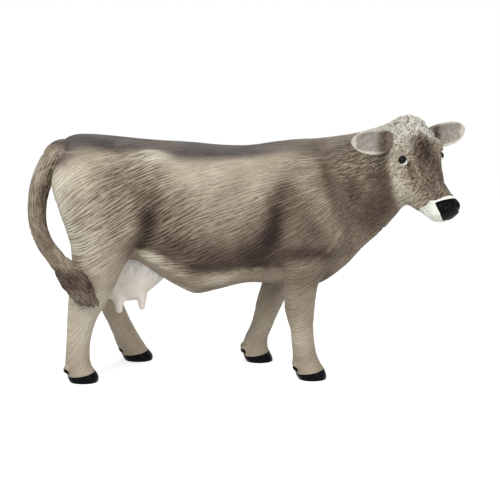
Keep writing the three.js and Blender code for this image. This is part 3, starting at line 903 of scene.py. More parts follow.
def girth(points: Array) -> Array:
    """Height in mm, carried on over the back and under the belly by how far the flank curves in."""
    _, y, z = points.T
    inwards = np.maximum(0, 18 - np.sqrt(y**2 + 3))
    return z + np.tanh((z - 50) / 14) * inwards


class HairMap:
    """Places along and across the hair, in mm, found once for the whole side of the animal.

    The side is unrolled into X and girth. On a net over it two heights are found, one whose slope
    comes closest to the hair's own direction everywhere and one whose slope comes closest to the
    direction across it.
    """

    low = (-72.0, -30.0)
    cells = (152, 140)

    def __init__(self) -> None:
        """Finds both heights on the net, whose cells are 1 mm wide."""
        x = self.low[0] + np.arange(self.cells[0])
        level = self.low[1] + np.arange(self.cells[1])
        net_x, net_level = (axis.ravel() for axis in np.meshgrid(x, level, indexing="ij"))
        net = np.stack([net_x, np.zeros(len(net_x)), net_level], -1)
        lie = bell_mean(net, LIE_OF_HAIR, 30)
        lie += (4 - lie) * ease(net_level, 73, 79)
        turn = np.radians(lie).reshape(self.cells)
        self.along = self.followed(np.cos(turn), np.sin(turn))
        self.across = self.followed(-np.sin(turn), np.cos(turn))

    def followed(self, slope_x: Array, slope_level: Array, rounds: int = 10) -> Array:
        """The height whose slope has a direction everywhere, while its steepness may change a little.

        Each round asks for the given direction with the steepness that the last height had along it.

        Args:
            slope_x: The direction's part along X, by place on the net.
            slope_level: Its part along the girth.
            rounds: How many times to ask.

        Returns:
            The height by place on the net.
        """
        steepness = np.ones(self.cells)
        for _ in range(rounds):
            found = self.height(slope_x * steepness, slope_level * steepness)
            found_x, found_level = np.gradient(found)
            steepness = np.clip(found_x * slope_x + found_level * slope_level, 0.8, 1.6)
        return found

    def height(self, slope_x: Array, slope_level: Array) -> Array:
        """The height whose slopes come closest to those asked for.

        The mean of the slopes at both ends of an edge is what the edge should rise by. Summed round
        each cell that is the right side of Poisson's equation. It is solved by waves on the net
        mirrored at its edges, where a wave's own factor is twice its cosine less two on each axis.

        Args:
            slope_x: The slope asked for along X, by place on the net.
            slope_level: The slope asked for along the girth.

        Returns:
            The height by place on the net.
        """
        asked = np.zeros(self.cells)
        for rises, slope in ((asked, slope_x), (asked.T, slope_level.T)):
            edge = (slope[1:] + slope[:-1]) / 2
            rises[:-1] += edge
            rises[1:] -= edge
        mirrored = np.block([[asked, asked[:, ::-1]], [asked[::-1], asked[::-1, ::-1]]])
        factors = [2 * np.cos(2 * np.pi * np.fft.fftfreq(2 * cells)) - 2 for cells in self.cells]
        factor = factors[0][:, None] + factors[1][None, :]
        factor[0, 0] = 1
        waves = np.fft.fft2(mirrored) / factor
        waves[0, 0] = 0
        return np.fft.ifft2(waves).real[: self.cells[0], : self.cells[1]]

    def at(self, points: Array) -> tuple[Array, Array]:
        """Along and across the hair at points, straight between the net's own places."""
        place = np.stack([points[:, 0], girth(points)], -1) - np.array(self.low)
        place = np.clip(place, 0, np.array(self.cells) - 1.001)
        cell = place.astype(np.int64)
        i, j = cell.T
        right, up = (place - cell).T
        found = []
        for net in (self.along, self.across):
            below = net[i, j] * (1 - right) + net[i + 1, j] * right
            above = net[i, j + 1] * (1 - right) + net[i + 1, j + 1] * right
            found.append(below * (1 - up) + above * up)
        return found[0], found[1]


HAIR_MAP = HairMap()


# Ways the short hair lies, in the head's axes: on the cheek and on the front of the face
CHEEK_WAY: Point = (0.1, 0, 1)
FRONT_WAY: Point = (-0.6, 0.8, 0)
# The same in the figure's axes
HEAD_WAYS = np.array([CHEEK_WAY, FRONT_WAY]) @ np.array(HEAD_AXES)


def laid_flat(directions: Array, normals: Array) -> Array:
    """Directions less their part along the normals, as unit vectors."""
    return unit(directions - normals * np.einsum("ij,ij->i", directions, normals)[:, None])


def head_way(share: Array, normals: Array) -> Array:
    """The way from the cheek's over to the front's by a share, laid flat on the surface."""
    cheek, front = HEAD_WAYS
    return laid_flat(cheek + (front - cheek) * share[:, None], normals)


# Depth of the hair grooves, seen from the side: X, Z, reach, mm
HAIR_DEPTHS: Rows = (
    (-54, 62, 5, 0.1),
    (-48, 69, 4, 0.06),
    (-44, 56, 8, 0.3),
    (-37, 64, 6, 0.32),
    (-48, 45, 5, 0.22),
    (-42, 38, 6, 0.14),
    (-28, 58, 6, 0.32),
    (-24, 48, 6, 0.3),
    (-20, 67, 4, 0.06),
    (-12, 60, 7, 0.18),
    (-2, 52, 7, 0.18),
    (-6, 44, 5, 0.12),
    (0, 68, 6, 0.08),
    (11, 60, 4, 0.26),
    (10, 50, 5, 0.26),
    (18, 60, 5, 0.2),
    (17, 49, 5, 0.15),
    (18, 43, 4, 0.14),
    (33, 67, 6, 0.34),
    (31, 58, 5, 0.24),
    (41, 56, 5, 0.08),
    (36, 50, 4, 0.12),
    (26, 42, 5, 0.2),
    (18, 32, 6, 0.14),
    (18, 18, 8, 0.12),
    (16, 6, 6, 0.08),
    (4, 20, 9, 0.16),
    (-50, 20, 9, 0.1),
    (-48, 6, 8, 0.07),
    (-38, 20, 8, 0.2),
    (-22, 37, 4, 0.22),
    (-6, 32, 6, 0.2),
)
DEEPEST_GROOVE = 0.32


def hair_depth(points: Array) -> Array:
    """Depth of the hair grooves in mm."""
    return bell_mean(points, HAIR_DEPTHS, 0.15)


@dataclass(frozen=True)
class Hair:
    """Sculpted hair: grooves drawn out along the hair, deeper in some patches than in others.

    The lengths say how many times longer than wide a strand or a tuft is, and sideways how fast both
    change from one side of the animal to the other.
    """

    strands: Grain = Grain(0.85, 11)
    tufts: Grain = Grain(2.6, 12)
    patches: Grain = Grain(5.0, 13)
    fine: Grain = Grain(0.62, 14)
    strand_length: float = 6
    tuft_length: float = 4
    sideways: float = 0.15

    def shaped(self, mixed: Array, points: Array) -> tuple[Array, Array]:
        """Relief from -1 in a groove to 0.4 on a ridge, and how deep in a groove a point is."""
        groove = ease(-mixed, -0.1, 1.3)
        ridge = ease(mixed, 0, 1.4)
        patch = 0.75 + 0.25 * np.tanh(self.patches.at(points))
        return (0.4 * ridge - groove) * patch, groove * patch

    def flowing(self, points: Array, along: Array, across: Array) -> tuple[Array, Array]:
        """Relief of long strands that follow the hair map, and how deep in a groove a point is."""
        side = self.sideways * points[:, 1]
        strands = self.strands.at(np.stack([along / self.strand_length, across, side], -1))
        tufts = self.tufts.at(np.stack([along / self.tuft_length, across, side], -1))
        return self.shaped(0.9 * strands + 0.3 * tufts, points)

    def short(self, points: Array, direction: Array, length: float) -> tuple[Array, Array]:
        """Relief of short strands along a direction, and how deep in a groove a point is."""
        return self.shaped(combed(points, direction, self.fine, length), points)


HAIR = Hair()


# Paint, as tones from 0, the darkest umber, to 1, the palest cream


@dataclass(frozen=True)
class Spray(Stroke):
    """A pass of the airbrush: it pulls the tone towards its own."""

    tone: float
    strength: float

    def over(self, tone: Array, points: Array) -> Array:
        """The tone after the pass."""
        share = self.strength * self.felt(points)
        return tone + (self.tone - tone) * share


# Passes on the flanks, as X and Z seen from the side
FLANK_SPRAYS = (
    Spray(((-16, 66.5), (-2, 66)), 8, 0.92, 0.8),
    Spray(((2, 66), (8, 65)), 6, 0.74, 0.7),
    Spray(((-8, 57), (2, 54)), 7, 0.6, 0.75),
    Spray(((-52, 67), (-50, 60)), 7, 0.9, 0.9),
    Spray(((-58, 62), (-55.5, 50), (-54, 44)), 4.2, 1.0, 0.9),
    Spray(((-56, 71), (-50, 73)), 3, 0.45, 0.6),
    Spray(((-44, 69.5), (-36, 71)), 3, 0.88, 0.75),
    Spray(((-38, 65), (-36, 60)), 6, 0.44, 0.8),
    Spray(((-47, 58), (-46, 52)), 5, 0.64, 0.7),
    Spray(((-40, 54), (-38, 48)), 5, 0.56, 0.6),
    Spray(((-48, 46), (-46, 40)), 6, 0.9, 0.8),
    Spray(((-40, 43), (-40, 36)), 5, 0.8, 0.7),
    Spray(((-24, 58), (-23, 49)), 6, 0.52, 0.75),
    # Painted shade: darker along the sculpted stifle fold.
    Spray(((-29.6, 60), (-30, 54)), 3.4, 0.26, 0.7),
    Spray(((-30, 53), (-31, 47), (-33, 42)), 3.4, 0.0, 0.95),
    Spray(((-29, 72.4), (-25, 71.6)), 4.4, 1.0, 0.95),
    Spray(((-22, 67.5), (-18, 68)), 4.5, 0.8, 0.7),
    Spray(((-24, 44), (-16, 42), (-5, 41), (6, 43)), 5.2, 0.19, 0.95),
    Spray(((-16, 37.5), (-3, 38), (6, 39)), 2.4, 0.08, 0.8),
    # Painted shade: darker along the sculpted groove behind the elbow.
    Spray(((12.5, 62), (10.5, 57)), 3.4, 0.32, 0.8),
    Spray(((9.8, 54.5), (8.4, 48), (6.8, 42), (4.5, 39.6)), 4.0, 0.0, 0.97),
    Spray(((14, 69), (19, 63)), 5.2, 0.63, 0.8),
    Spray(((13, 59), (17, 53), (22, 47)), 3.8, 0.32, 0.8),
    Spray(((20, 58), (25, 53.5), (31, 48.6)), 2.4, 0.54, 0.8),
    Spray(((9, 40), (11, 37)), 1.8, 0.1, 0.85),
    Spray(((17, 49), (18, 45)), 5, 0.33, 0.85),
    Spray(((23, 73), (25, 66), (27, 60), (29.4, 55)), 2.6, 0.22, 0.6),
    Spray(((33, 70), (36, 65)), 6, 0.54, 0.8),
    Spray(((33, 60), (36, 52), (38, 56)), 4.6, 0.12, 0.88),
    # Painted shadow of the jaw on the neck.
    Spray(((41.5, 64), (43.5, 57), (40, 50)), 4.2, 0.15, 0.85),
    Spray(((33, 46), (28, 40), (24, 35)), 4, 0.32, 0.7),
    Spray(((12, 41.2), (25, 41.2)), 2.8, 0.08, 0.9),
    # Painted highlight along the raised ridge on the front of the forearm.
    Spray(((30.4, 49.6), (27.4, 44.6), (25.8, 42.4)), 0.8, 0.62, 0.6),
    Spray(((13, 32), (24, 32)), 5.0, 0.36, 0.85),
)


# Upper edge of the olive band along the belly: X, height
BELLY_BAND: Rows = (
    (-58, 41),
    (-33, 42),
    (-29.7, 41.5),
    (-23.5, 38.3),
    (-18.9, 35.1),
    (-14.2, 33.9),
    (-4.9, 34.8),
    (4.4, 36.4),
    (20, 36),
    (60, 32),
)


@dataclass
class Paint:
    """What a finish reads at each point; a plain number holds for the whole piece.

    Attributes:
        tone: From 0, the darkest umber, to 1, the palest cream.
        grey: Share of the greyed tone.
        white: Share of white hair.
        black: Past a half where hoof, dewclaw or nose is black.
        muzzle: Past a half where the muzzle is white.
        groove: How deep in a groove of the relief.
        wash_and_shade: Strength of the darkening in those grooves, partly dark paint settled in them and
            partly painted shade.
        comb: Strength of the fine hair lines.
        lie: Share of the way that short hair lies on the front of the face.
        flow: Share of long hair, which follows the hair map.
        along: Place along the long hair in mm.
        across: Place across it in mm.
    """

    tone: Array
    grey: Array | float = 0.1
    white: Array | float = 0.0
    black: Array | float = 0.0
    muzzle: Array | float = 0.0
    groove: Array | float = 0.0
    wash_and_shade: Array | float = 0.5
    comb: Array | float = 0.4
    lie: Array | float = 0.0
    flow: Array | float = 1.0
    along: Array | float = 0.0
    across: Array | float = 0.0

    def marks(self) -> dict[str, Array]:
        """The values by the names that the finishes read."""
        whole = np.ones(len(self.tone))
        marks = {name: getattr(self, name) * whole for name in self.__dataclass_fields__}
        lengths = ("lie", "along", "across")
        return {name: m if name in lengths else np.clip(m, 0, 1) for name, m in marks.items()}

    def blended(self, other: "Paint", share: Array) -> "Paint":
        """This paint going over into another by a share."""
        pairs = {name: (getattr(self, name), getattr(other, name)) for name in self.__dataclass_fields__}
        return Paint(**{name: mine + (theirs - mine) * share for name, (mine, theirs) in pairs.items()})


def coat_paint(points: Array, normals: Array) -> Paint:
    """The airbrushed coat of trunk, neck and legs.

    The passes of FLANK_SPRAYS go over a middle tone. A dark stripe lies where the back faces up, the
    belly below the flank fold is olive beige, and the legs pale towards the ground, more on their
    outer faces than on their inner ones.

    Returns:
        The paint, with its grooves still to come.
    """
    x, y, z = points.T
    tone = np.full(len(points), 0.6)
    for spray in FLANK_SPRAYS:
        tone = spray.over(tone, points[:, [0, 2]])
    drift = Grain(6, 21).at(points)
    # The legs
    lower = ease(z, 33, 27)
    fore_shank = 0.56 + 0.2 * ease(z, 24, 14) - 0.16 * ease(z, 12, 6)
    hind_shank = 0.84 - 0.08 * ease(z, 17, 11) - 0.03 * ease(z, 8, 4)
    shank = fore_shank + (hind_shank - fore_shank) * ease(x, -10, -30)
    tone = tone + (shank - tone) * lower
    # Painted lift: the inner faces of the legs, in the body's shade, are pulled to a tone of their own,
    # paler than the forearm round them; low on the hind legs it is browner than the outer faces.
    inner = ease(normals[:, 1] * np.sign(y), 0.15, -0.55) * ease(z, 44, 34)
    on_leg = np.maximum(lower, ease(np.abs(y), 8, 10) * ease(z, 40, 34))
    tone = tone + (0.74 - 0.08 * ease(x, -10, -30) - tone) * inner * on_leg * 0.85
    # The stripe on the back
    back_edge = 8.8 + 1.0 * ease(x, 10, -20) - 3 * ease(x, 24, 38)
    stripe = ease(np.abs(y + 0.25 * np.maximum(x - 34, 0)), back_edge + 2.2, back_edge - 2.2)
    stripe = stripe * ease(normals[:, 2], 0.25, 0.7) * ease(z, 62, 68)
    stripe_tone = 0.15 + 0.32 * ease(x, 6, 26) + 0.2 * ease(x, 30, 44)
    tone = tone + (stripe_tone - tone) * stripe * 0.95
    # The olive band under the belly
    band_edge = through(BELLY_BAND, x)[:, 0] + 0.25 * Grain(1.4, 24).at(points)
    side_or_below = 1 - ease(x, 10.5, 12.5) * ease(np.abs(y), 6, 8)
    side_or_below = side_or_below * (1 - lower * ease(np.abs(y), 5.5, 7))
    under = ease(z - band_edge, 0.7, -0.7) * ease(x, -37, -33) * side_or_below
    olive = 0.68 - 0.2 * ease(x, -3, 8) + 0.04 * drift
    tone = tone + (olive - tone) * under * 0.9
    # Grey over the stripe, and white hair on the crest of the neck and in a tuft behind the thigh
    grey = 0.75 * stripe * (1 - 0.7 * ease(x, 2, 20)) + 0.08
    crest = ease(x, 34, 44) * ease(z, 70.5, 76)
    rear_tuft = Stroke(((-54, -11, 43), (-54, -10.5, 38)), 2.8).felt(points)
    white = np.maximum(0.85 * crest, rear_tuft * ease(-normals[:, 0], -0.2, 0.4))
    depth = hair_depth(points)
    along, across = HAIR_MAP.at(points)
    neck = ease(x - 0.2 * (73 - z), 24, 30)
    sheltered = (1 - 0.45 * stripe) * (1 - 0.3 * inner * on_leg) * (1 - 0.3 * under)
    return Paint(
        tone=tone + 0.03 * drift,
        grey=grey,
        white=white,
        wash_and_shade=(0.15 + 0.2 * ease(depth, 0.1, 0.3)) * sheltered,
        comb=np.clip(depth / DEEPEST_GROOVE, 0.12, 1) * sheltered,
        flow=1 - neck,
        along=along,
        across=across,
    )


def hooves_onto(paint: Paint, points: Array, sole: tuple[float, float, float]) -> Paint:
    """Adds the black of hoof and dewclaws, whose edge the finish draws where the value passes a half.

    Args:
        paint: The leg's paint.
        points: Places in mm.
        sole: Heel, toe and distance to the left at the hoof.

    Returns:
        The same paint.
    """
    x, _, z = points.T
    heel, toe, out = sole
    share = np.clip((x - heel) / (toe - heel), 0, 1)
    coronet = 2.0 + 1.5 * share**1.6
    hoof = np.clip(0.5 + (coronet - z) * 0.8, 0, 1)
    from_heel = points - np.array([heel - 0.2, out, 3.6])
    claws = [path_distance(from_heel, ((0, turn * DEWCLAW_SPREAD, 0),)) for turn in (-1, 1)]
    tip = np.clip(0.5 + (1.35 - np.minimum(*claws)) * 0.8, 0, 1) * (x < heel + 1.2)
    paint.black = np.maximum(hoof, tip)
    paint.comb = paint.comb * ease(z, 2.5, 5)
    return paint


# Passes on the head, in its own axes with both sides folded together: along, out, up
HEAD_SPRAYS = (
    Spray(((1, 7.5, -7), (4, 7, -9)), 5, 0.86, 0.8),
    Spray(((10, 5.5, -5), (13, 5, -4)), 3.6, 0.72, 0.85),
    # Painted lift: the underside of the jaw, which lies in shade, is sprayed the palest cream.
    Spray(((-2, 7, -11), (2, 5, -15), (8, 3, -14)), 3.4, 1.0, 0.9),
    Spray(((-4.5, 6.5, 1), (-1, 7.4, 1.5), (1.5, 7, 0.2)), 1.4, 0.92, 0.75),
    Spray(((-2.8, 0, 3.2), (1, 0, 2.6), (7, 0, 1.6)), 4.8, 0.1, 0.93),
    Spray(((-0.5, 0, 3), (4, 0, 2)), 3.2, 0.0, 0.75),
    Spray(((-5.5, 4, 2.6), (-2, 4.6, 2)), 1.6, 0.35, 0.6),
    Spray(((6, 0, 1.6), (14, 0, 1.2)), 3.6, 0.27, 0.92),
    Spray(((4, 4, 0), (14, 3.6, 0)), 2.8, 0.24, 0.85),
    Spray(((-1, 5.4, 1), (4.5, 4.7, -0.6), (7, 4.5, -2)), 0.6, 0.76, 0.75),
    # Painted shade in the groove before and below the eye.
    Spray(((1.6, 7, -0.4), (3.8, 6.2, -2.2)), 1.2, 0.1, 0.8),
    Spray(((-9, 7, -2), (-8, 7.6, -4)), 2.2, 0.26, 0.75),
    Spray(((6, 4.5, -1), (12, 4.5, -2)), 2.4, 0.44, 0.7),
)


def head_paint(points: Array, neck: Paint, behind: Array) -> Paint:
    """The head's paint: pale cheeks, dark brow, white poll and muzzle, and a black nose.

    Masks are bells and smooth steps of the place in the head's axes, and the neck's own paint takes
    over behind the jaw.

    Args:
        points: Places in mm.
        neck: The neck's paint at the same points.
        behind: Share of the neck's paint.

    Returns:
        The paint, with its grooves still to come.
    """
    seen = folded(to_head(points))
    a, o, u = seen.T
    tone = np.full(len(points), 0.8)
    for spray in HEAD_SPRAYS:
        tone = spray.over(tone, seen)
    drift = Grain(4, 22).at(points)
    edge = 0.5 * Grain(1.2, 25).at(points)
    poll = ease(a + edge, -4.6, -7.6) * ease(u, -4.5, -1)
    brow = np.exp(-(((a + 4.6) / 2.2) ** 2 + ((o - 6.6) / 1.8) ** 2)) * 0.7
    ring = MUZZLE_RING + 0.3 * np.minimum(u + 1, 0) - 0.9 * np.exp(-(((u + 2) / 1.3) ** 2))
    ring = ring + 0.12 * drift
    pad_side = 4.5 - 0.75 * np.maximum(-u - 0.6, 0)
    pad = np.minimum.reduce([a - NOSE_PAD + 0.035 * o**2, u + 4.4, pad_side - o])
    cheek = ease(a, 9, 3) * ease(u, -1, -5)
    paint = Paint(
        tone=tone + 0.03 * drift,
        grey=0.06 + 0.2 * ease(a, 7, 12) * ease(o, 4.6, 3),
        white=np.maximum(0.95 * poll, 0.8 * brow),
        black=np.clip(0.5 + pad * 0.9, 0, 1),
        muzzle=np.clip(0.5 + (a - ring) * 0.9, 0, 1),
        wash_and_shade=np.full(len(points), 0.5),
        comb=(1.0 - 0.25 * cheek) * ease(a, 16, 14.5),
        lie=ease(o, 5.4, 3.8) * ease(u, -3, -0.8),
        flow=0.0,
        along=neck.along,
        across=neck.across,
    )
    neck.lie = paint.lie
    neck.flow = 1.0
    return paint.blended(neck, behind)


# Finishes


def colour(red: int, green: int, blue: int) -> tuple[float, float, float, float]:
    """A paint colour given in display values from 0 to 255, as the linear one that shaders take."""
    shares = (np.array([red, green, blue]) / 255.0).tolist()
    linear = [c / 12.92 if c <= 0.04045 else ((c + 0.055) / 1.055) ** 2.4 for c in shares]
    return (*linear, 1.0)


class Bench:
    """A material's node tree with short calls for the nodes that the finishes share."""

    def __init__(self, name: str) -> None:
        """Starts an empty material with one shader and its output."""
        self.material = bpy.data.materials.new(name)
        self.material.use_nodes = True
        self.nodes = self.material.node_tree.nodes
        self.links = self.material.node_tree.links
        self.nodes.clear()
        self.shader = self.nodes.new("ShaderNodeBsdfPrincipled")
        output = self.nodes.new("ShaderNodeOutputMaterial")
        self.links.new(self.shader.outputs["BSDF"], output.inputs["Surface"])

    def put(self, value: object, socket: Socket) -> None:
        """Links a socket to another, or sets it to a plain value."""
        if isinstance(value, Socket):
            self.links.new(value, socket)
        else:
            socket.default_value = value

    def dress(self, name: str, value: object) -> None:
        """The same for one of the shader's own inputs."""
        self.put(value, self.shader.inputs[name])

    def add(self, kind: str, inputs: dict[str | int, object]) -> bpy.types.Node:
        """A node of a kind, some of whose inputs get a socket or a plain value."""
        node = self.nodes.new(f"ShaderNode{kind}")
        for key, value in inputs.items():
            self.put(value, node.inputs[key])
        return node

    def mark(self, name: str) -> Socket:
        """The value of a piece's own attribute."""
        node = self.nodes.new("ShaderNodeAttribute")
        node.attribute_name = name
        return node.outputs["Fac"]

    def math(self, kind: str, first: object, second: object = 0.0) -> Socket:
        """One arithmetic step."""
        node = self.add("Math", {0: first, 1: second})
        node.operation = kind
        return node.outputs[0]

    def span(
        self, value: object, low: float, high: float, to_low: float = 0.0, to_high: float = 1.0
    ) -> Socket:
        """A smooth step of a value from low to high, whose result goes from to_low to to_high."""
        ends = {"From Min": low, "From Max": high, "To Min": to_low, "To Max": to_high}
        node = self.add("MapRange", {"Value": value, **ends})
        node.interpolation_type = "SMOOTHSTEP"
        return node.outputs["Result"]

    def blend(self, share: object, first: object, second: object, kind: str = "MIX") -> Socket:
        """A mix of two colours by a share."""
        node = self.nodes.new("ShaderNodeMix")
        node.data_type = "RGBA"
        node.blend_type = kind
        for value, place in zip((share, first, second), (0, 6, 7)):
            self.put(value, node.inputs[place])
        return node.outputs[2]

    def between(self, share: object, first: object, second: object) -> Socket:
        """A number on the way from the first to the second by a share."""
        return self.add("Mix", {0: share, 2: first, 3: second}).outputs[0]

    def ramp(self, value: object, stops: tuple[tuple[float, tuple], ...]) -> Socket:
        """A colour read off a row of stops."""
        node = self.nodes.new("ShaderNodeValToRGB")
        bar = node.color_ramp
        while len(bar.elements) < len(stops):
            bar.elements.new(0.5)
        for element, (place, shade) in zip(bar.elements, stops):
            element.position = place
            element.color = shade
        self.put(value, node.inputs["Fac"])
        return node.outputs["Color"]

    def noise(self, place: Socket, scale: float, detail: float, swirl: float) -> Socket:
        """Noise at a place: its grains per unit, finer noise added on top, and how much it winds."""
        grain = {"Scale": scale, "Detail": detail, "Distortion": swirl}
        return self.add("TexNoise", {"Vector": place, **grain}).outputs["Fac"]

    def speckle(
        self,
        scale: float,
        detail: float = 2.0,
        length: Point = (1, 1, 1),
        way: Point = (1, 0, 0),
        swirl: float = 0.0,
    ) -> Socket:
        """Noise on the piece's own coordinates, in metres.

        Args:
            scale: Grains per metre.
            detail: Finer noise added on top.
            length: How much longer the grains are along X, Y and Z once turned.
            way: Where X points once turned.
            swirl: How much the grains wind.
        """
        place = self.add("TexCoord", {}).outputs["Object"]
        turn = Vector(way).to_track_quat("X", "Z").to_euler()
        mapping = self.add("Mapping", {"Vector": place, "Rotation": turn, "Scale": length})
        mapping.vector_type = "TEXTURE"
        return self.noise(mapping.outputs["Vector"], scale, detail, swirl)

    def strokes(self, scale: float, length: float) -> Socket:
        """Noise drawn out along the hair of the head, whose own mark "lie" goes from one way to the other.

        Args:
            scale: Strokes per metre across the hair.
            length: How many times longer than wide the strokes are.
        """
        long = (length, 1, 1)
        cheek, front = (self.speckle(scale, 1.0, long, tuple(way), 0.4) for way in HEAD_WAYS)
        return self.between(self.span(self.mark("lie"), 0.3, 0.7), cheek, front)

    def flow(self, pitch: float, length: float, uneven: float = 0.75, even: float = 0.13) -> Socket:
        """Strands along the hair map: drawn-out noise with even waves across, whose phase wanders.

        Args:
            pitch: Width of the noise's grains in mm.
            length: How many times longer than wide they are.
            uneven: Share of the noise.
            even: Share of the waves.
        """
        grains = []
        for wide, long in ((pitch, length), (6 * pitch, 9.0)):
            along = self.math("DIVIDE", self.mark("along"), wide * long)
            across = self.math("DIVIDE", self.mark("across"), wide)
            place = self.add("CombineXYZ", {0: along, 1: across})
            grains.append(self.noise(place.outputs["Vector"], 1.0, 1.0, 0.2))
        turns = self.math("DIVIDE", self.mark("across"), 2 * pitch)
        turns = self.math("ADD", turns, self.math("MULTIPLY", grains[1], 3.0))
        wave = self.math("SINE", self.math("MULTIPLY", turns, 2 * math.pi))
        noise = self.math("MULTIPLY", self.math("SUBTRACT", grains[0], 0.5), uneven)
        return self.math("ADD", self.math("ADD", noise, 0.5), self.math("MULTIPLY", wave, even))

    def bump(
        self, height: object, distance: float, strength: object, under: object = None
    ) -> Socket:
        """A bump from a height whose one stands for a distance in metres, over another bump if given."""
        below = {} if under is None else {"Normal": under}
        depths = {"Height": height, "Distance": distance, "Strength": strength}
        return self.add("Bump", {**depths, **below}).outputs["Normal"]


UMBER = colour(42, 33, 29)
BROWN = colour(88, 73, 62)
TAUPE = colour(130, 116, 99)
FAWN = colour(173, 160, 141)
CREAM = colour(208, 202, 182)
CHALK = colour(238, 240, 228)
INK = colour(14, 15, 18)
# Dark colour multiplied into the coat's creases and grooves, partly dark paint settled there and partly
# painted shade; and the two tones of its white hair
WASH_AND_SHADE = colour(152, 135, 118)
PALE_HAIR = colour(219, 217, 206)
GREY_HAIR = colour(128, 118, 106)
# The udder: two tones of its skin and two of the pale hair over it, the hair made paler still as a painted
# lift against the shade where the bag meets the belly
UDDER_SKIN = (colour(233, 223, 211), colour(240, 232, 222))
UDDER_HAIR_AND_LIFT = (colour(236, 233, 230), colour(252, 250, 248))
COAT_STOPS = ((0.0, UMBER), (0.2, BROWN), (0.48, TAUPE), (0.76, FAWN), (1.0, CREAM))


@dataclass(frozen=True)
class CoatFinish:
    """Matt airbrushed vinyl: a tone from umber to cream, fine hair lines, and brushed black and white.

    Attributes:
        name: The material's name.
        short: Width of the head's short strokes in metres; none on the other pieces.
        pitch: Width of the long strands in metres.
        length: How many times longer than wide the lines are.
        contrast: Darkness of the lines where the hair is deepest, painted shade in the creases between
            strands, up to 1.
        depth: Depth of the lines in metres.
        roughness: Roughness of the paint where it isn't black.
    """

    name: str
    short: float = 0.0
    pitch: float = 0.00039
    length: float = 10.0
    contrast: float = 1.0
    depth: float = 0.0004
    roughness: float = 0.66

    def lines(self, bench: Bench) -> tuple[Socket, Socket]:
        """The height of each place of a strand, and how deep it is in a dark line between two."""
        curly = bench.flow(1.4 * self.pitch / MM, 4.5, 1.6, 0.03)
        if self.short:
            rest, long = bench.strokes(1 / self.short, 4.5), curly
        else:
            rest, long = curly, bench.flow(self.pitch / MM, self.length)
        drawn = bench.between(bench.mark("flow"), rest, long)
        dash = bench.span(bench.speckle(380.0, 1.0), 0.3, 0.6, 0.45, 1.0)
        crease = bench.math("MULTIPLY", bench.span(drawn, 0.46, 0.33), dash)
        return bench.span(drawn, 0.32, 0.66), bench.math("MULTIPLY", crease, bench.mark("comb"))

    def coat(self, bench: Bench, strand: Socket, crease: Socket) -> Socket:
        """The coat's colour: ramp by tone, greyed, whitened, paler on the strands' ridges as painted
        highlight, and darkened in creases and grooves with painted shade and settled dark paint.

        Args:
            bench: The material's bench.
            strand: The height of each place of a strand.
            crease: How deep it is in a dark line between two.
        """
        cloud = bench.speckle(160.0, 3.0)
        grit = bench.span(bench.speckle(2300.0, 1.0), 0.32, 0.68, -0.045, 0.045)
        tone = bench.math("ADD", bench.mark("tone"), bench.span(cloud, 0.3, 0.7, -0.03, 0.03))
        tone = bench.math("ADD", tone, grit)
        # Painted highlight: the ridges of the strands are a little paler.
        ridge = bench.math("MULTIPLY", bench.span(strand, 0.5, 1.0), bench.mark("comb"))
        tone = bench.math("ADD", tone, bench.math("MULTIPLY", ridge, 0.1))
        coat = bench.ramp(tone, COAT_STOPS)
        greyed = bench.add("HueSaturation", {"Saturation": 0.45, "Color": coat})
        coat = bench.blend(bench.mark("grey"), coat, greyed.outputs["Color"])
        fleck = bench.span(bench.speckle(1500.0, 2.0, (2.2, 2.2, 1), swirl=1.5), 0.46, 0.34)
        hair = bench.blend(fleck, PALE_HAIR, GREY_HAIR)
        coat = bench.blend(bench.mark("white"), coat, hair)
        # Painted shade, partly settled dark paint: the coat is darkened in the creases between strands and
        # in the grooves of the relief.
        shade = bench.blend(1.0, coat, WASH_AND_SHADE, "MULTIPLY")
        coat = bench.blend(bench.math("MULTIPLY", crease, self.contrast), coat, shade)
        groove_paint_and_shade = bench.math("MULTIPLY", bench.mark("groove"), bench.mark("wash_and_shade"))
        return bench.blend(bench.math("MULTIPLY", groove_paint_and_shade, 0.5), coat, shade)

    def build(self) -> bpy.types.Material:
        """Makes the material: the coat, then the white of the muzzle and the black over it."""
        bench = Bench(self.name)
        strand, crease = self.lines(bench)
        coat = self.coat(bench, strand, crease)
        coat = bench.blend(bench.span(bench.mark("muzzle"), 0.44, 0.56), coat, CHALK)
        dark = bench.span(bench.mark("black"), 0.45, 0.55)
        bench.dress("Base Color", bench.blend(dark, coat, INK))
        bench.dress("Roughness", bench.span(dark, 0.0, 1.0, self.roughness, 0.3))
        pores = bench.bump(bench.speckle(2600.0), 0.00004, 0.4)
        relief = bench.math("MULTIPLY", strand, bench.mark("comb"))
        bench.dress("Normal", bench.bump(relief, self.depth, 1.0, pores))
        bench.dress("Specular IOR Level", bench.span(dark, 0.0, 1.0, 0.18, 0.05))
        return bench.material


@dataclass(frozen=True)
class UdderFinish:
    """Satin pale pink-grey vinyl with a little grey hair where the bag meets the belly."""

    name: str = "udder_paint"

    def build(self) -> bpy.types.Material:
        """Makes the material: pink-grey, greyer by the hair mark, with faint mottling."""
        bench = Bench(self.name)
        mottle = bench.speckle(240.0, 3.0)
        skin = bench.blend(bench.span(mottle, 0.3, 0.7), *UDDER_SKIN)
        strands = bench.speckle(1400.0, 2.0, (1, 1, 6))
        hair = bench.blend(bench.span(strands, 0.36, 0.5), *UDDER_HAIR_AND_LIFT)
        bench.dress("Base Color", bench.blend(bench.mark("hairy"), skin, hair))
        bench.dress("Roughness", 0.5)
        bench.dress("Specular IOR Level", 0.3)
        bench.dress("Normal", bench.bump(strands, 0.0001, 0.5))
        return bench.material


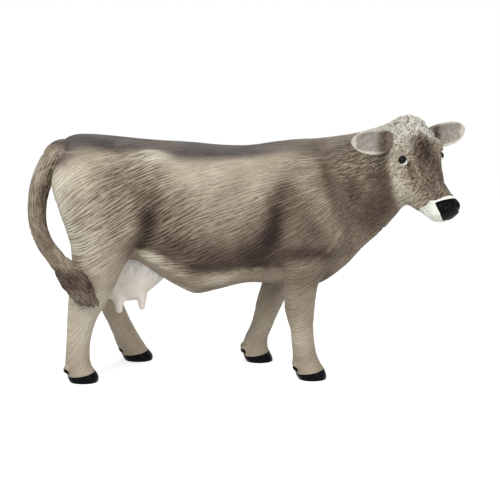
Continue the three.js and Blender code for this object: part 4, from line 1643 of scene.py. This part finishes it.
@dataclass(frozen=True)
class GlossFinish:
    """Gloss enamel of one colour with a faint mottle, for the eyes."""

    name: str
    shade: tuple[float, float, float, float]
    roughness: float

    def build(self) -> bpy.types.Material:
        """Makes the material."""
        bench = Bench(self.name)
        mottle = bench.span(bench.speckle(1200.0), 0.35, 0.65)
        lighter = tuple(min(1.0, 1.3 * c + 0.002) for c in self.shade[:3])
        bench.dress("Base Color", bench.blend(mottle, self.shade, (*lighter, 1.0)))
        bench.dress("Roughness", self.roughness)
        bench.dress("Specular IOR Level", 0.12)
        return bench.material


# The mouldings


@dataclass(frozen=True)
class Leg:
    """One leg: its sections, the height of its seam, and the box that its lower part takes.

    The box runs from inner to outer away from the midline, from rear to front, and from underground,
    below the flat sole, to a little above the seam.
    """

    name: str
    rows: Rows
    side: Side
    seam: float
    inner: float
    rear: float
    front: float
    outer: float = 23.0
    underground: float = -3.0

    def body(self) -> OvalBody:
        """The whole leg as an oval body on an upright axis."""
        axes = ((0, 0, 1), (1, 0, 0), (0, 1, 0))
        return OvalBody(upright_rows(self.rows, self.side), LIMB_SQUARENESS, axes=axes, rounding=0.4)

    def sole(self) -> tuple[float, float, float]:
        """Heel, toe and distance to the left at the hoof."""
        heel, toe, _, out = through(self.rows, np.array([SOLE_LEVEL]))[0]
        return heel, toe, self.side.value * out

    def aside(self, near: float, far: float) -> tuple[float, float]:
        """A stretch of Y between two distances from the midline, on the leg's own side."""
        return (near, far) if self.side is Side.LEFT else (-far, -near)

    def lower_box(self) -> tuple[Point, Point]:
        """The space of the lower leg up to a little above its seam."""
        low_y, high_y = self.aside(self.inner, self.outer)
        return (self.rear, low_y, self.underground), (self.front, high_y, self.seam + PAST_SEAM)

    def stump_saw(self) -> Saw:
        """The cut that ends the leg's upper part at its seam.

        Its box keeps clear of the belly, which hangs lower than the seam between the forelegs.

        Returns:
            The saw, with a box a few mm larger than the leg there.
        """
        rear, front, _, _ = through(self.rows, np.array([self.seam]))[0]
        beside_belly = 7.2 if self.seam == FORE_SEAM_HEIGHT else 2.0
        low_y, high_y = self.aside(beside_belly, self.outer + 1)
        box = (rear - 3, low_y, self.seam - 3), (front + 3, high_y, self.seam + 2)
        return Saw((0, 0, self.seam), (0, 0, -1), box)


LEGS = (
    Leg("right_foreleg", FORE_RIGHT_ROWS, Side.RIGHT, FORE_SEAM_HEIGHT, 4.6, 9.0, 29.0),
    Leg("left_foreleg", FORE_LEFT_ROWS, Side.LEFT, FORE_SEAM_HEIGHT, 4.6, -5.0, 29.0),
    Leg("right_hind_leg", HIND_RIGHT_ROWS, Side.RIGHT, HIND_SEAM_HEIGHT, 4.4, -62.0, -34.0),
    Leg("left_hind_leg", HIND_LEFT_ROWS, Side.LEFT, HIND_SEAM_HEIGHT, 4.4, -62.0, -28.5),
)


@dataclass(frozen=True)
class Carcass:
    """The one form from which torso, head and legs are cut.

    The reaches round the joins of a leg to the trunk and of the skull to the neck. The cleft between
    the claws is widest at the toe, by cleft_half to either side, and runs back and up to its ends.
    """

    limb_reach: float = 2.2
    neck_reach: float = 3.0
    cleft_half: float = 0.6
    cleft_length: float = 4.6
    cleft_top: float = 4.2
    dewclaw: Point = (1.25, 1.1, 1.35)
    trunk: OvalBody = OvalBody(TRUNK_ROWS, TRUNK_SQUARENESS, rounding=2.0)
    skull: OvalBody = OvalBody(
        SKULL_ROWS, HEAD_SQUARENESS, HEAD_PLACE, (HEAD_AXES[0], HEAD_AXES[2], HEAD_AXES[1]), 0.8
    )
    hips: tuple[Knob, Knob] = both_sides((-30, 9.2, 66), (8.5, 5, 6.4))
    tail_head: Knob = Knob((-54.6, 0, 70.8), (6.4, 4.2, 3.6))
    poll: Knob = Knob((-10.8, 0, 1.5), (3.7, 5, 2.8), HEAD_PLACE, HEAD_AXES)
    ear_bases: tuple[Knob, Knob] = both_sides((-8, 6.7, -1.6), (2.9, 2, 3), HEAD_PLACE, HEAD_AXES)
    brows: tuple[Knob, Knob] = both_sides((-3.4, 5.8, 1.7), (2.6, 1.9, 1.7), HEAD_PLACE, HEAD_AXES)

    def neck(self, points: Array) -> Array:
        """Distance past the neck's seam."""
        normal = np.array(NECK_SEAM_NORMAL) / np.linalg.norm(NECK_SEAM_NORMAL)
        return (points - np.array(NECK_SEAM_POINT)) @ normal

    def torso_field(self, points: Array) -> Array:
        """Trunk with hips, tail head and the legs' upper ends, up to a little past the neck's seam."""
        form = self.trunk.distance(points)
        for hip in self.hips:
            form = join(form, hip.distance(points), 3.0)
        form = join(form, self.tail_head.distance(points), 2.5)
        for leg in LEGS:
            above = leg.seam - PAST_SEAM - points[:, 2]
            stump = np.maximum(leg.body().distance(points), above)
            form = join(form, stump, self.limb_reach)
        form = join(form, self.head_only(points), self.neck_reach)
        return np.maximum(form, self.neck(points) - PAST_SEAM)

    def head_only(self, points: Array) -> Array:
        """Skull, poll, brows and the bases of the ears."""
        form = join(self.skull.distance(points), self.poll.distance(points), 2.0)
        for base in self.ear_bases:
            form = join(form, base.distance(points), 2.0)
        for brow in self.brows:
            form = join(form, brow.distance(points), 1.4)
        return form

    def head_field(self, points: Array) -> Array:
        """Skull, poll and neck, from a little behind the neck's seam."""
        form = join(self.trunk.distance(points), self.head_only(points), self.neck_reach)
        return np.maximum(form, -self.neck(points) - PAST_SEAM)

    def leg_field(self, leg: Leg, points: Array) -> Array:
        """A lower leg with its claws and dewclaws, and the trunk where it joins."""
        form = leg.body().distance(points)
        heel, toe, out = leg.sole()
        x, y, z = points.T
        forwards = np.clip((x - toe + self.cleft_length) / self.cleft_length, 0, 1)
        wide = self.cleft_half * forwards * np.clip((self.cleft_top - z) / 1.4, 0, 1)
        form = carve(form, np.abs(y - out) - wide, 0.35)
        for turn in (-1, 1):
            claw = Knob((heel + 0.1, out + turn * DEWCLAW_SPREAD, 4.2), self.dewclaw)
            form = join(form, claw.distance(points), 0.8)
        return join(self.trunk.distance(points), form, self.limb_reach)


@dataclass
class Mouldings:
    """Builds and paints the pieces cut from the carcass, and the udder; each pitch is a net's cell."""

    form: Carcass
    body_pitch: float = 0.9
    leg_pitch: float = 0.64
    udder_pitch: float = 0.6

    def __post_init__(self) -> None:
        """Makes the finishes that several pieces share."""
        self.coat = CoatFinish("coat_paint").build()
        self.leg_coat = CoatFinish("leg_paint", length=14.0, contrast=0.5, depth=0.0002).build()
        self.head_coat = CoatFinish("head_paint", short=0.00058).build()

    def relief(
        self, points: Array, paint: Paint, normals: Array, strength: Array
    ) -> tuple[Array, Array]:
        """Height of the modelling strokes and the hair, and how deep in a groove each point is.

        Args:
            points: Places in mm.
            paint: Their paint, which knows their places along and across the hair.
            normals: Their outward unit normals.
            strength: Share of the hair's full depth.
        """
        height = np.zeros(len(points))
        for touch in (*FLANK_TOUCHES, *FINE_TOUCHES):
            height += touch.on(points[:, [0, 2]])
        height *= ease(np.abs(normals[:, 1]), 0.15, 0.6) * ease(np.abs(points[:, 1]), 1.5, 4)
        height *= ease(points[:, 2], 27, 30)
        saddle = np.exp(-(((points[:, 0] + 16) / 11) ** 2)) * ease(normals[:, 2], 0.6, 0.95)
        height += 0.3 * saddle
        chest = ease(normals[:, 0], 0.25, 0.6) * ease(points[:, 0], 22, 28)
        chest = chest * ease(points[:, 2], 33, 36)
        height += chest * (0.15 - 0.4 * ease(np.abs(Grain(1.2, 32).at(points)), 0.7, 0.1))
        comb, groove = HAIR.flowing(points, paint.along, paint.across)
        return height + 0.6 * comb * hair_depth(points) * strength, groove

    def torso(self) -> bpy.types.Object:
        """The trunk, neck, haunches and shoulders, cut at the neck and above the four legs."""
        low, high = (-63, -24, 22), (58, 24, 86)
        skin, normals = skinned(self.form.torso_field, low, high, self.body_pitch, 1)
        paint = coat_paint(skin.points, normals)
        height, paint.groove = self.relief(skin.points, paint, normals, np.ones(len(normals)))
        saws = [Saw(NECK_SEAM_POINT, NECK_SEAM_NORMAL), *(leg.stump_saw() for leg in LEGS)]
        moved = Skin(skin.points + normals * height[:, None], skin.faces)
        return moulding("torso_skin", moved, paint.marks(), self.coat, "torso", tuple(saws))

    def head(self) -> bpy.types.Object:
        """The head and the front of the neck."""
        low, high = (38, -36, 46), (72, 6, 88)
        skin, normals = skinned(self.form.head_field, low, high, self.body_pitch, 2)
        points = skin.points
        local = folded(to_head(points))
        a, _, u = local.T
        behind = ease(self.form.neck(points), 3.2, 0.2)
        behind = np.maximum(behind, ease(a, -8, -12) * ease(u, -3, -6))
        paint = head_paint(points, coat_paint(points, normals), behind)
        modelled = np.zeros(len(points))
        for touch in HEAD_TOUCHES:
            modelled += touch.on(local)
        near_eye = np.hypot(a - EYE_PLACE[0], u - EYE_PLACE[1])
        bare = (1 - ease(a, 13.5, 15.5)) * ease(near_eye, 1.6, 3.2)
        top = ease(u, -3.5, -0.5)
        fanned = laid_flat(points - from_head(np.array([CROWN], float)), normals)
        along = head_way(paint.lie, normals) * (1 - top)[:, None] + fanned * top[:, None]
        comb, groove = HAIR.short(points, along, 2.6)
        neck_comb, neck_groove = HAIR.flowing(points, paint.along, paint.across)
        comb += (neck_comb - comb) * behind
        groove = groove * bare
        paint.groove = groove + (neck_groove - groove) * behind
        own_depth = (0.12 + 0.16 * top * ease(a, 6, -3)) * bare
        depth = own_depth + (hair_depth(points) - own_depth) * behind
        tufts = np.abs(Grain(1.3, 31).at(points)) * ease(a, -3.5, -7) * ease(u, -4, -1)
        height = modelled * (1 - behind) + comb * depth + 0.08 * (tufts - 0.9 * (tufts > 0))
        moved = Skin(points + normals * height[:, None], skin.faces)
        saw = Saw(NECK_SEAM_POINT, tuple(-c for c in NECK_SEAM_NORMAL))
        return moulding("head_skin", moved, paint.marks(), self.head_coat, "head", (saw,))

    def leg(self, leg: Leg) -> bpy.types.Object:
        """One lower leg, cut flat at its seam and at the ground."""
        low, high = leg.lower_box()

        def shape(points: Array) -> Array:
            """The leg's field inside its box."""
            form = self.form.leg_field(leg, points)
            walls = np.maximum(np.array(low) - points, points - np.array(high)).max(1)
            return np.maximum(form, walls)

        reach = 1.0
        corners = tuple(c - reach for c in low), tuple(c + reach for c in high)
        skin, normals = skinned(shape, *corners, self.leg_pitch, 1)
        points = skin.points
        paint = hooves_onto(coat_paint(points, normals), points, leg.sole())
        height, paint.groove = self.relief(points, paint, normals, ease(points[:, 2], 2.2, 4))
        moved = Skin(points + normals * height[:, None], skin.faces)
        saws = (Saw((0, 0, leg.seam), (0, 0, 1)), Saw((0, 0, 0), (0, 0, -1)))
        name = f"{leg.name}_skin"
        return moulding(name, moved, paint.marks(), self.leg_coat, leg.name, saws)

    def udder(self) -> bpy.types.Object:
        """The bag with its four teats, cut off under the belly's skin."""
        bag = OvalBody(UDDER_ROWS, UDDER_SQUARENESS, rounding=1.0)

        def shape(points: Array) -> Array:
            """Bag and teats less the carcass."""
            form = bag.distance(points)
            x, y, z = points.T
            for place, tip in TEAT_TIPS:
                axis = ((place, TEAT_SPREAD, 25.0), (place, TEAT_SPREAD + 0.2, tip + 1.0))
                spread = np.stack([x, np.abs(y), z], -1)
                taper = 1.0 + 0.6 * ease(z, tip + 0.6, tip + 4.5)
                form = join(form, path_distance(spread, axis) - taper, 1.6)
            return np.maximum(form, -(self.form.torso_field(points) + 0.7))

        skin, normals = skinned(shape, (-50, -9, 17), (-24, 9, 43), self.udder_pitch, 1)
        points = skin.points
        seam = self.form.torso_field(points)
        hairy = np.maximum(ease(seam, 3.4, 0.6), 0.75 * ease(points[:, 2], 30, 37))
        veins = Grain(2.2, 41).at(points)
        wrinkles = 0.1 * np.tanh(veins) * (1 - hairy) * ease(points[:, 2], 20, 24)
        down = np.zeros_like(points)
        down[:, 2] = 1
        strands = combed(points, down, Grain(0.7, 42), 3.0, 7)
        middle = -0.35 * np.exp(-((points[:, 1] / 0.9) ** 2)) * ease(points[:, 2], 30, 25)
        height = wrinkles + middle + 0.12 * strands * hairy
        moved = Skin(points + normals * height[:, None], skin.faces)
        marks = {"hairy": np.clip(hairy + 0.2 * strands * hairy, 0, 1)}
        return moulding("udder_skin", moved, marks, UdderFinish().build(), "udder")


@dataclass(frozen=True)
class Ear:
    """An ear as a cupped leaf from its root, in the head's axes, with furrows up to a strength of 1."""

    name: str
    side: Side
    root: Point
    furrows: float
    rings: int = 90
    around: int = 96

    def axes(self) -> tuple[Array, Array, Array]:
        """Outwards along the ear, across it and the way that it faces, as unit vectors."""
        turn, lift = math.radians(HEAD_TURN), math.radians(EAR_LIFT)
        side = self.side.value
        out = np.array([side * math.sin(turn), side * math.cos(turn), math.tan(lift)])
        out /= np.linalg.norm(out)
        facing = np.array([math.cos(turn), -math.sin(turn), 0])
        return out, np.cross(facing, out), facing

    def build(self) -> bpy.types.Object:
        """Makes the ear.

        Round each ring the width goes with the cosine and the thickness with the sine, and the cup
        bends the ring forwards by the square of the cosine, so that the rims stand out.
        """
        first, last = EAR_ROWS[0][0], EAR_ROWS[-1][0]
        at = first + (last - first) * (1 - np.cos(np.linspace(0, np.pi, self.rings))) / 2
        half, thick, cup = through(EAR_ROWS, at).T
        turn = np.linspace(0, 2 * np.pi, self.around, endpoint=False) + np.pi / self.around
        across = np.cos(turn)[None, :]
        front = np.sin(turn)[None, :]
        width = half[:, None] * across
        depth = thick[:, None] * front + cup[:, None] * (across**2 - 0.5)
        out, sideways, facing = self.axes()
        root = from_head(np.array([self.root], float))[0]
        inside = ease(front, 0.1, 0.5) * ease(np.abs(across), 0.9, 0.72) * ease(at, 1.5, 4)[:, None]
        inside = inside * ease(at, 14.6, 13.2)[:, None]
        waves = at[:, None] * 5.2 + 1.6 * np.sin(width * 1.1) + 0.8 * np.sin(at[:, None] * 1.7)
        furrow = ease(np.sin(waves), 0.1, 1.0) * inside * ease(at, 12.5, 7)[:, None] * self.furrows
        depth = depth - furrow * 0.25 - inside * 0.25
        points = root + at[:, None, None] * out + width[..., None] * sideways + depth[..., None] * facing
        skin = tube_skin(points)
        flat = skin.points
        rootwards = ease(at, 7.0, 3.0)[:, None]
        back = ease(front, 0.0, -0.4)
        rim = (1 - inside) * (1 - back)
        tone = 0.68 * inside + 0.94 * rim + 0.8 * back - 0.55 * rootwards * (1 - 0.4 * back)
        lining = inside * (1 - rootwards)
        whole = np.ones_like(points[..., 0])
        paint = Paint(
            tone=(tone * whole).ravel() + 0.04 * Grain(0.8, 51).at(flat),
            grey=((0.2 + 0.6 * lining) * whole).ravel(),
            white=(0.45 * rim * (1 - rootwards) * whole).ravel(),
            groove=furrow.ravel(),
            wash_and_shade=0.95,
            comb=0.08,
            along=(at[:, None] * whole).ravel(),
            across=width.ravel(),
        )
        finish = CoatFinish(f"{self.name}_paint", contrast=0.6).build()
        return moulding(f"{self.name}_skin", skin, paint.marks(), finish, self.name)


@dataclass(frozen=True)
class Tail:
    """The tail with its switch: a strand of ovals along a line, with pointed locks at its end."""

    rings: int = 320
    around: int = 80
    locks: int = 9
    lock_rings: int = 40
    lock_around: int = 16
    seed: int = 61

    def line(self, share: Array) -> tuple[Array, Array, Array]:
        """The line's places, half widths and half thicknesses at shares of its rows.

        Past the last row the line runs straight on.
        """
        steps = np.linspace(0, 1, len(TAIL_ROWS))
        table = tuple((float(s), *row) for s, row in zip(steps, TAIL_ROWS))
        values = through(table, share)
        last, before = np.array(TAIL_ROWS[-1][:3]), np.array(TAIL_ROWS[-2][:3])
        past = np.maximum(share - 1, 0) * (len(TAIL_ROWS) - 1)
        return values[:, :3] + past[:, None] * (last - before), values[:, 3], values[:, 4]

    def frames(self, centre: Array) -> tuple[Array, Array, Array]:
        """Along, across and out at each place of a line: across is square to the line and to Y."""
        along = unit(np.gradient(centre, axis=0))
        across = unit(np.cross(np.array([0.0, 1.0, 0.0]), along))
        return along, across, np.cross(along, across)

    def rings_along(self, centre: Array, half: Array, thick: Array, around: int, swell: Array) -> Array:
        """Ovals square to a line.

        Args:
            centre: Places on the line.
            half: Half width of the oval at each.
            thick: Half thickness of it.
            around: Points on an oval.
            swell: Share by which its radius is longer, for each of these points.

        Returns:
            The points, by oval and place on it.
        """
        _, across, out = self.frames(centre)
        turn = np.linspace(0, 2 * np.pi, around, endpoint=False)
        reach = 1 + swell
        side = (half[:, None] * np.cos(turn) * reach)[..., None] * across[:, None]
        rise = (thick[:, None] * np.sin(turn) * reach)[..., None] * out[:, None]
        return centre[:, None] + side + rise

    def hair(self, centre: Array, thick: Array, around: int) -> tuple[Array, Array]:
        """Places along and across the hair of a strand in mm, for each point of each ring."""
        run = np.cumsum(np.linalg.norm(np.diff(centre, axis=0, prepend=centre[:1]), axis=1))
        round_it = np.linspace(0, 2 * np.pi, around, endpoint=False) * thick.mean()
        along = np.repeat(run, around)
        return along, np.tile(round_it, len(centre)) + 0.12 * along

    def strand(self) -> tuple[Array, Array, Array, Array]:
        """The main strand's rings, how deep in a groove each point is, and its places along and across.

        The grooves are grain drawn out along the tail and a little round it.

        Returns:
            Rings, grooves, places along and places across.
        """
        share = np.linspace(0, 1, self.rings)
        centre, half, thick = self.line(share)
        along, _, _ = self.frames(centre)
        plain = self.rings_along(centre, half, thick, self.around, np.zeros((self.rings, self.around)))
        twist = 0.45 * np.sin(9 * share)[:, None, None]
        drawn = unit(along[:, None] + twist * unit(np.gradient(plain, axis=1))).reshape(-1, 3)
        hair = combed(plain.reshape(-1, 3), drawn, Grain(0.75, 63), 3.6)
        groove = ease(-hair, -0.1, 1.3).reshape(self.rings, self.around)
        amount = (0.1 + 0.1 * ease(share, 0.62, 0.85)) * ease(share, 0.02, 0.14)
        rings = self.rings_along(centre, half, thick, self.around, -groove * amount[:, None])
        return rings, groove.ravel(), *self.hair(centre, (half + thick) / 2, self.around)

    def lock(self, aside: float, rng: np.random.Generator) -> tuple[Array, Array, Array, Array]:
        """One pointed lock of the switch: it leaves the strand, bends a little aside and ends in a tip.

        Args:
            aside: Where it lies across the strand, from -1 in front to 1 behind.
            rng: Source of its small differences.

        Returns:
            The same as for the strand.
        """
        start = rng.uniform(0.7, 0.8)
        end = 0.985 - 0.06 * max(aside, 0) + rng.uniform(-0.02, 0.05)
        run = np.linspace(0, 1, self.lock_rings)
        centre, half, thick = self.line(start + (end - start) * run)
        _, across, out = self.frames(centre)
        wave = 0.16 * np.sin(run * 7 + rng.uniform(0, 6))
        spread = np.maximum(half, 1.9) * (aside * (0.75 + 0.35 * run) + wave)
        lift = np.maximum(thick, 1.1) * (rng.uniform(0.35, 0.75) * (1 - 0.45 * run**2))
        centre = centre + across * spread[:, None] + out * lift[:, None]
        width = rng.uniform(0.95, 1.3) * np.sqrt(np.clip(1 - run**2.4, 0.003, 1)) * ease(run, -0.35, 0.3)
        turn = np.linspace(0, 2 * np.pi, self.lock_around, endpoint=False)[None, :]
        groove = ease(np.sin(4 * turn + 4 * run[:, None] + 6 * aside), 0.0, 1.0)
        rings = self.rings_along(centre, width, width * 0.75, self.lock_around, -0.2 * groove)
        return rings, groove.ravel(), *self.hair(centre, width, self.lock_around)

    def build(self) -> bpy.types.Object:
        """Makes the tail with all its locks as one piece."""
        rng = np.random.default_rng(self.seed)
        places = np.linspace(-0.75, 0.95, self.locks)
        strands = [self.strand(), *(self.lock(aside, rng) for aside in places)]
        rings, groove, along, across = zip(*strands)
        skins = [tube_skin(part) for part in rings]
        starts = np.cumsum([0, *(len(skin.points) for skin in skins[:-1])])
        faces = np.concatenate([skin.faces + start for skin, start in zip(skins, starts)])
        points = np.concatenate([skin.points for skin in skins])
        x, y, z = points.T
        switch = ease(z, 38.5, 34.5) * ease(y, -8, -14)
        tip = ease(z, 33, 28.5) * switch
        top = np.maximum(ease(z, 71.5, 74), 0.7 * ease(x, -60.5, -56.5) * ease(z, 62, 67))
        tone = 0.49 - 0.07 * ease(z, 44, 54) + 0.26 * ease(z, 58, 66) - 0.32 * top
        tone = tone - 0.36 * switch + 0.34 * tip
        outer = ease(x, -63, -66.5) * (1 - switch)
        paint = Paint(
            tone=tone + 0.12 * outer + 0.04 * Grain(3, 62).at(points),
            grey=0.1 + 0.5 * top,
            groove=np.concatenate(groove),
            wash_and_shade=0.6,
            comb=0.75,
            along=np.concatenate(along),
            across=np.concatenate(across),
        )
        finish = CoatFinish("tail_paint", length=6.0, contrast=0.85, depth=0.0003).build()
        return moulding("tail_skin", Skin(points, faces), paint.marks(), finish, "tail")


@dataclass(frozen=True)
class Eye:
    """A painted eye: a black ball set in the head, with a thin white crescent below and before it."""

    name: str
    side: Side
    radius: float = 1.35
    exposed: float = 1.2
    rim: float = 0.12
    rim_shift: Point = (0.17, -0.47, -0.33)
    steps: int = 40

    def surface(self, form: Carcass) -> float:
        """How far out the head reaches at the eye: where the field along a line outwards turns positive."""
        out = np.linspace(4, 11, 141)
        along, up = EYE_PLACE
        line = np.stack([np.full_like(out, along), self.side.value * out, np.full_like(out, up)], -1)
        inside = form.head_field(from_head(line)) < 0
        return float(out[np.flatnonzero(inside)[-1]])

    def ball(self, middle: Array, radius: float) -> Skin:
        """A ball in the head's axes, as rings from its outer pole to its inner one."""
        share = np.linspace(0, np.pi, self.steps)
        turn = np.linspace(0, 2 * np.pi, self.steps, endpoint=False)
        reach = np.maximum(np.sin(share), 0.004)[:, None] * radius
        rise = np.cos(share)[:, None] * radius + np.zeros((1, self.steps))
        local = np.stack([reach * np.cos(turn), rise, reach * np.sin(turn)], -1) + middle
        return tube_skin(from_head(local.reshape(-1, 3)).reshape(local.shape))

    def build(self, form: Carcass) -> None:
        """Makes the eye and its rim."""
        side = self.side.value
        out = self.surface(form) + self.exposed - self.radius
        middle = np.array([EYE_PLACE[0], side * out, EYE_PLACE[1]])
        shift = np.array(self.rim_shift) * (1, side, 1)
        black = GlossFinish(f"{self.name}_enamel", INK, 0.16).build()
        white = GlossFinish(f"{self.name}_white", CHALK, 0.4).build()
        moulding(self.name, self.ball(middle, self.radius), {}, black)
        rim = self.ball(middle + shift, self.radius + self.rim)
        moulding(f"{self.name}_rim", rim, {}, white)


# Floor, light and camera


@dataclass(frozen=True)
class Studio:
    """A white floor, soft lamps and the photograph's camera, in mm and degrees.

    The floor's paper is of an even tone from 0 to 1 and goes over to plain white between the two
    distances of its fade. The lamps are given as the method lamp takes them.
    """

    elevation: float = 12.0
    distance: float = 600.0
    target: Point = (1.3, 0.0, 39.15)
    lens: float = 136.2
    floor_size: float = 4000.0
    paper: float = 0.62
    fade: tuple[float, float] = (140.0, 360.0)
    sky: float = 0.42
    lamps: tuple[tuple[str, Point, float, float], ...] = (
        ("key", (-350, -520, 620), 420, 5.2),
        ("fill", (520, -480, 260), 520, 1.9),
        ("rim", (100, 560, 480), 480, 2.2),
    )

    def floor(self) -> bpy.types.Object:
        """A plain pale floor with the figure's shadow; it goes over to plain white away from the figure."""
        size = self.floor_size * MM / 2
        mesh = bpy.data.meshes.new("floor")
        corners = [(-size, -size, 0), (size, -size, 0), (size, size, 0), (-size, size, 0)]
        mesh.from_pydata(corners, [], [(0, 1, 2, 3)])
        bench = Bench("floor_paper")
        reach = bench.add("VectorMath", {0: bench.add("TexCoord", {}).outputs["Object"]})
        reach.operation = "LENGTH"
        far = bench.span(reach.outputs["Value"], *(edge * MM for edge in self.fade))
        bench.dress("Roughness", 1.0)
        bench.dress("Specular IOR Level", 0.0)
        bench.dress("Emission Color", (1, 1, 1, 1))
        rays = bench.add("LightPath", {})
        seen = bench.math("MAXIMUM", rays.outputs["Is Camera Ray"], rays.outputs["Is Glossy Ray"])
        tone = (self.paper, self.paper, self.paper, 1)
        bench.dress("Base Color", bench.blend(bench.math("MULTIPLY", far, seen), tone, (0, 0, 0, 1)))
        glow = bench.math("ADD", self.paper, bench.math("MULTIPLY", far, 1 - self.paper))
        bench.dress("Emission Strength", bench.math("MULTIPLY", seen, glow))
        mesh.materials.append(bench.material)
        floor = bpy.data.objects.new("floor", mesh)
        bpy.context.scene.collection.objects.link(floor)
        return floor

    def world(self) -> None:
        """An even pale sky that lights softly and that the camera sees as white."""
        world = bpy.data.worlds.new("studio")
        world.use_nodes = True
        nodes, links = world.node_tree.nodes, world.node_tree.links
        back = nodes["Background"]
        back.inputs["Color"].default_value = (1, 1, 1, 1)
        rays = nodes.new("ShaderNodeLightPath")
        strength = nodes.new("ShaderNodeMapRange")
        strength.inputs["To Min"].default_value = self.sky
        strength.inputs["To Max"].default_value = 1.0
        links.new(rays.outputs["Is Camera Ray"], strength.inputs["Value"])
        links.new(strength.outputs["Result"], back.inputs["Strength"])
        bpy.context.scene.world = world

    def lamp(self, name: str, place: Point, size: float, power: float) -> None:
        """A square soft lamp that faces the figure.

        Args:
            name: Its name.
            place: In mm from the middle of the figure.
            size: Length of its sides in mm.
            power: In watts.
        """
        data = bpy.data.lights.new(name, "AREA")
        data.shape = "SQUARE"
        data.size = size * MM
        data.energy = power
        lamp = bpy.data.objects.new(name, data)
        middle = Vector((0, 0, 0.04))
        lamp.location = Vector(place) * MM + middle
        lamp.rotation_euler = (middle - lamp.location).to_track_quat("-Z", "Y").to_euler()
        bpy.context.scene.collection.objects.link(lamp)

    def camera(self) -> None:
        """The photograph's camera: level with +Y, a little above, as far away as its lens asks."""
        data = bpy.data.cameras.new("camera")
        data.lens = self.lens
        data.sensor_width = 36.0
        camera = bpy.data.objects.new("camera", data)
        tilt = math.radians(self.elevation)
        target = Vector((np.array(self.target) + SHIFT) * MM)
        back = Vector((0, -math.cos(tilt), math.sin(tilt)))
        camera.location = target + back * self.distance * MM
        camera.rotation_euler = (-back).to_track_quat("-Z", "Y").to_euler()
        bpy.context.scene.collection.objects.link(camera)
        bpy.context.scene.camera = camera

    def build(self) -> None:
        """Sets the whole stage."""
        self.camera()
        self.floor()
        self.world()
        for lamp in self.lamps:
            self.lamp(*lamp)
        bpy.context.scene.view_settings.view_transform = "Standard"


def main() -> None:
    """Builds the stage and every piece."""
    logging.basicConfig(level=logging.INFO, format="%(message)s")
    Studio().build()
    form = Carcass()
    mouldings = Mouldings(form)
    mouldings.torso()
    mouldings.head()
    for leg in LEGS:
        mouldings.leg(leg)
    mouldings.udder()
    for side, root, furrows in zip(Side, EAR_ROOTS, (0.15, 1.0)):
        Ear(f"{side.name.lower()}_ear", side, root, furrows).build()
    Tail().build()
    for side in Side:
        Eye(f"{side.name.lower()}_eye", side).build(form)


if __name__ == "__main__":
    main()
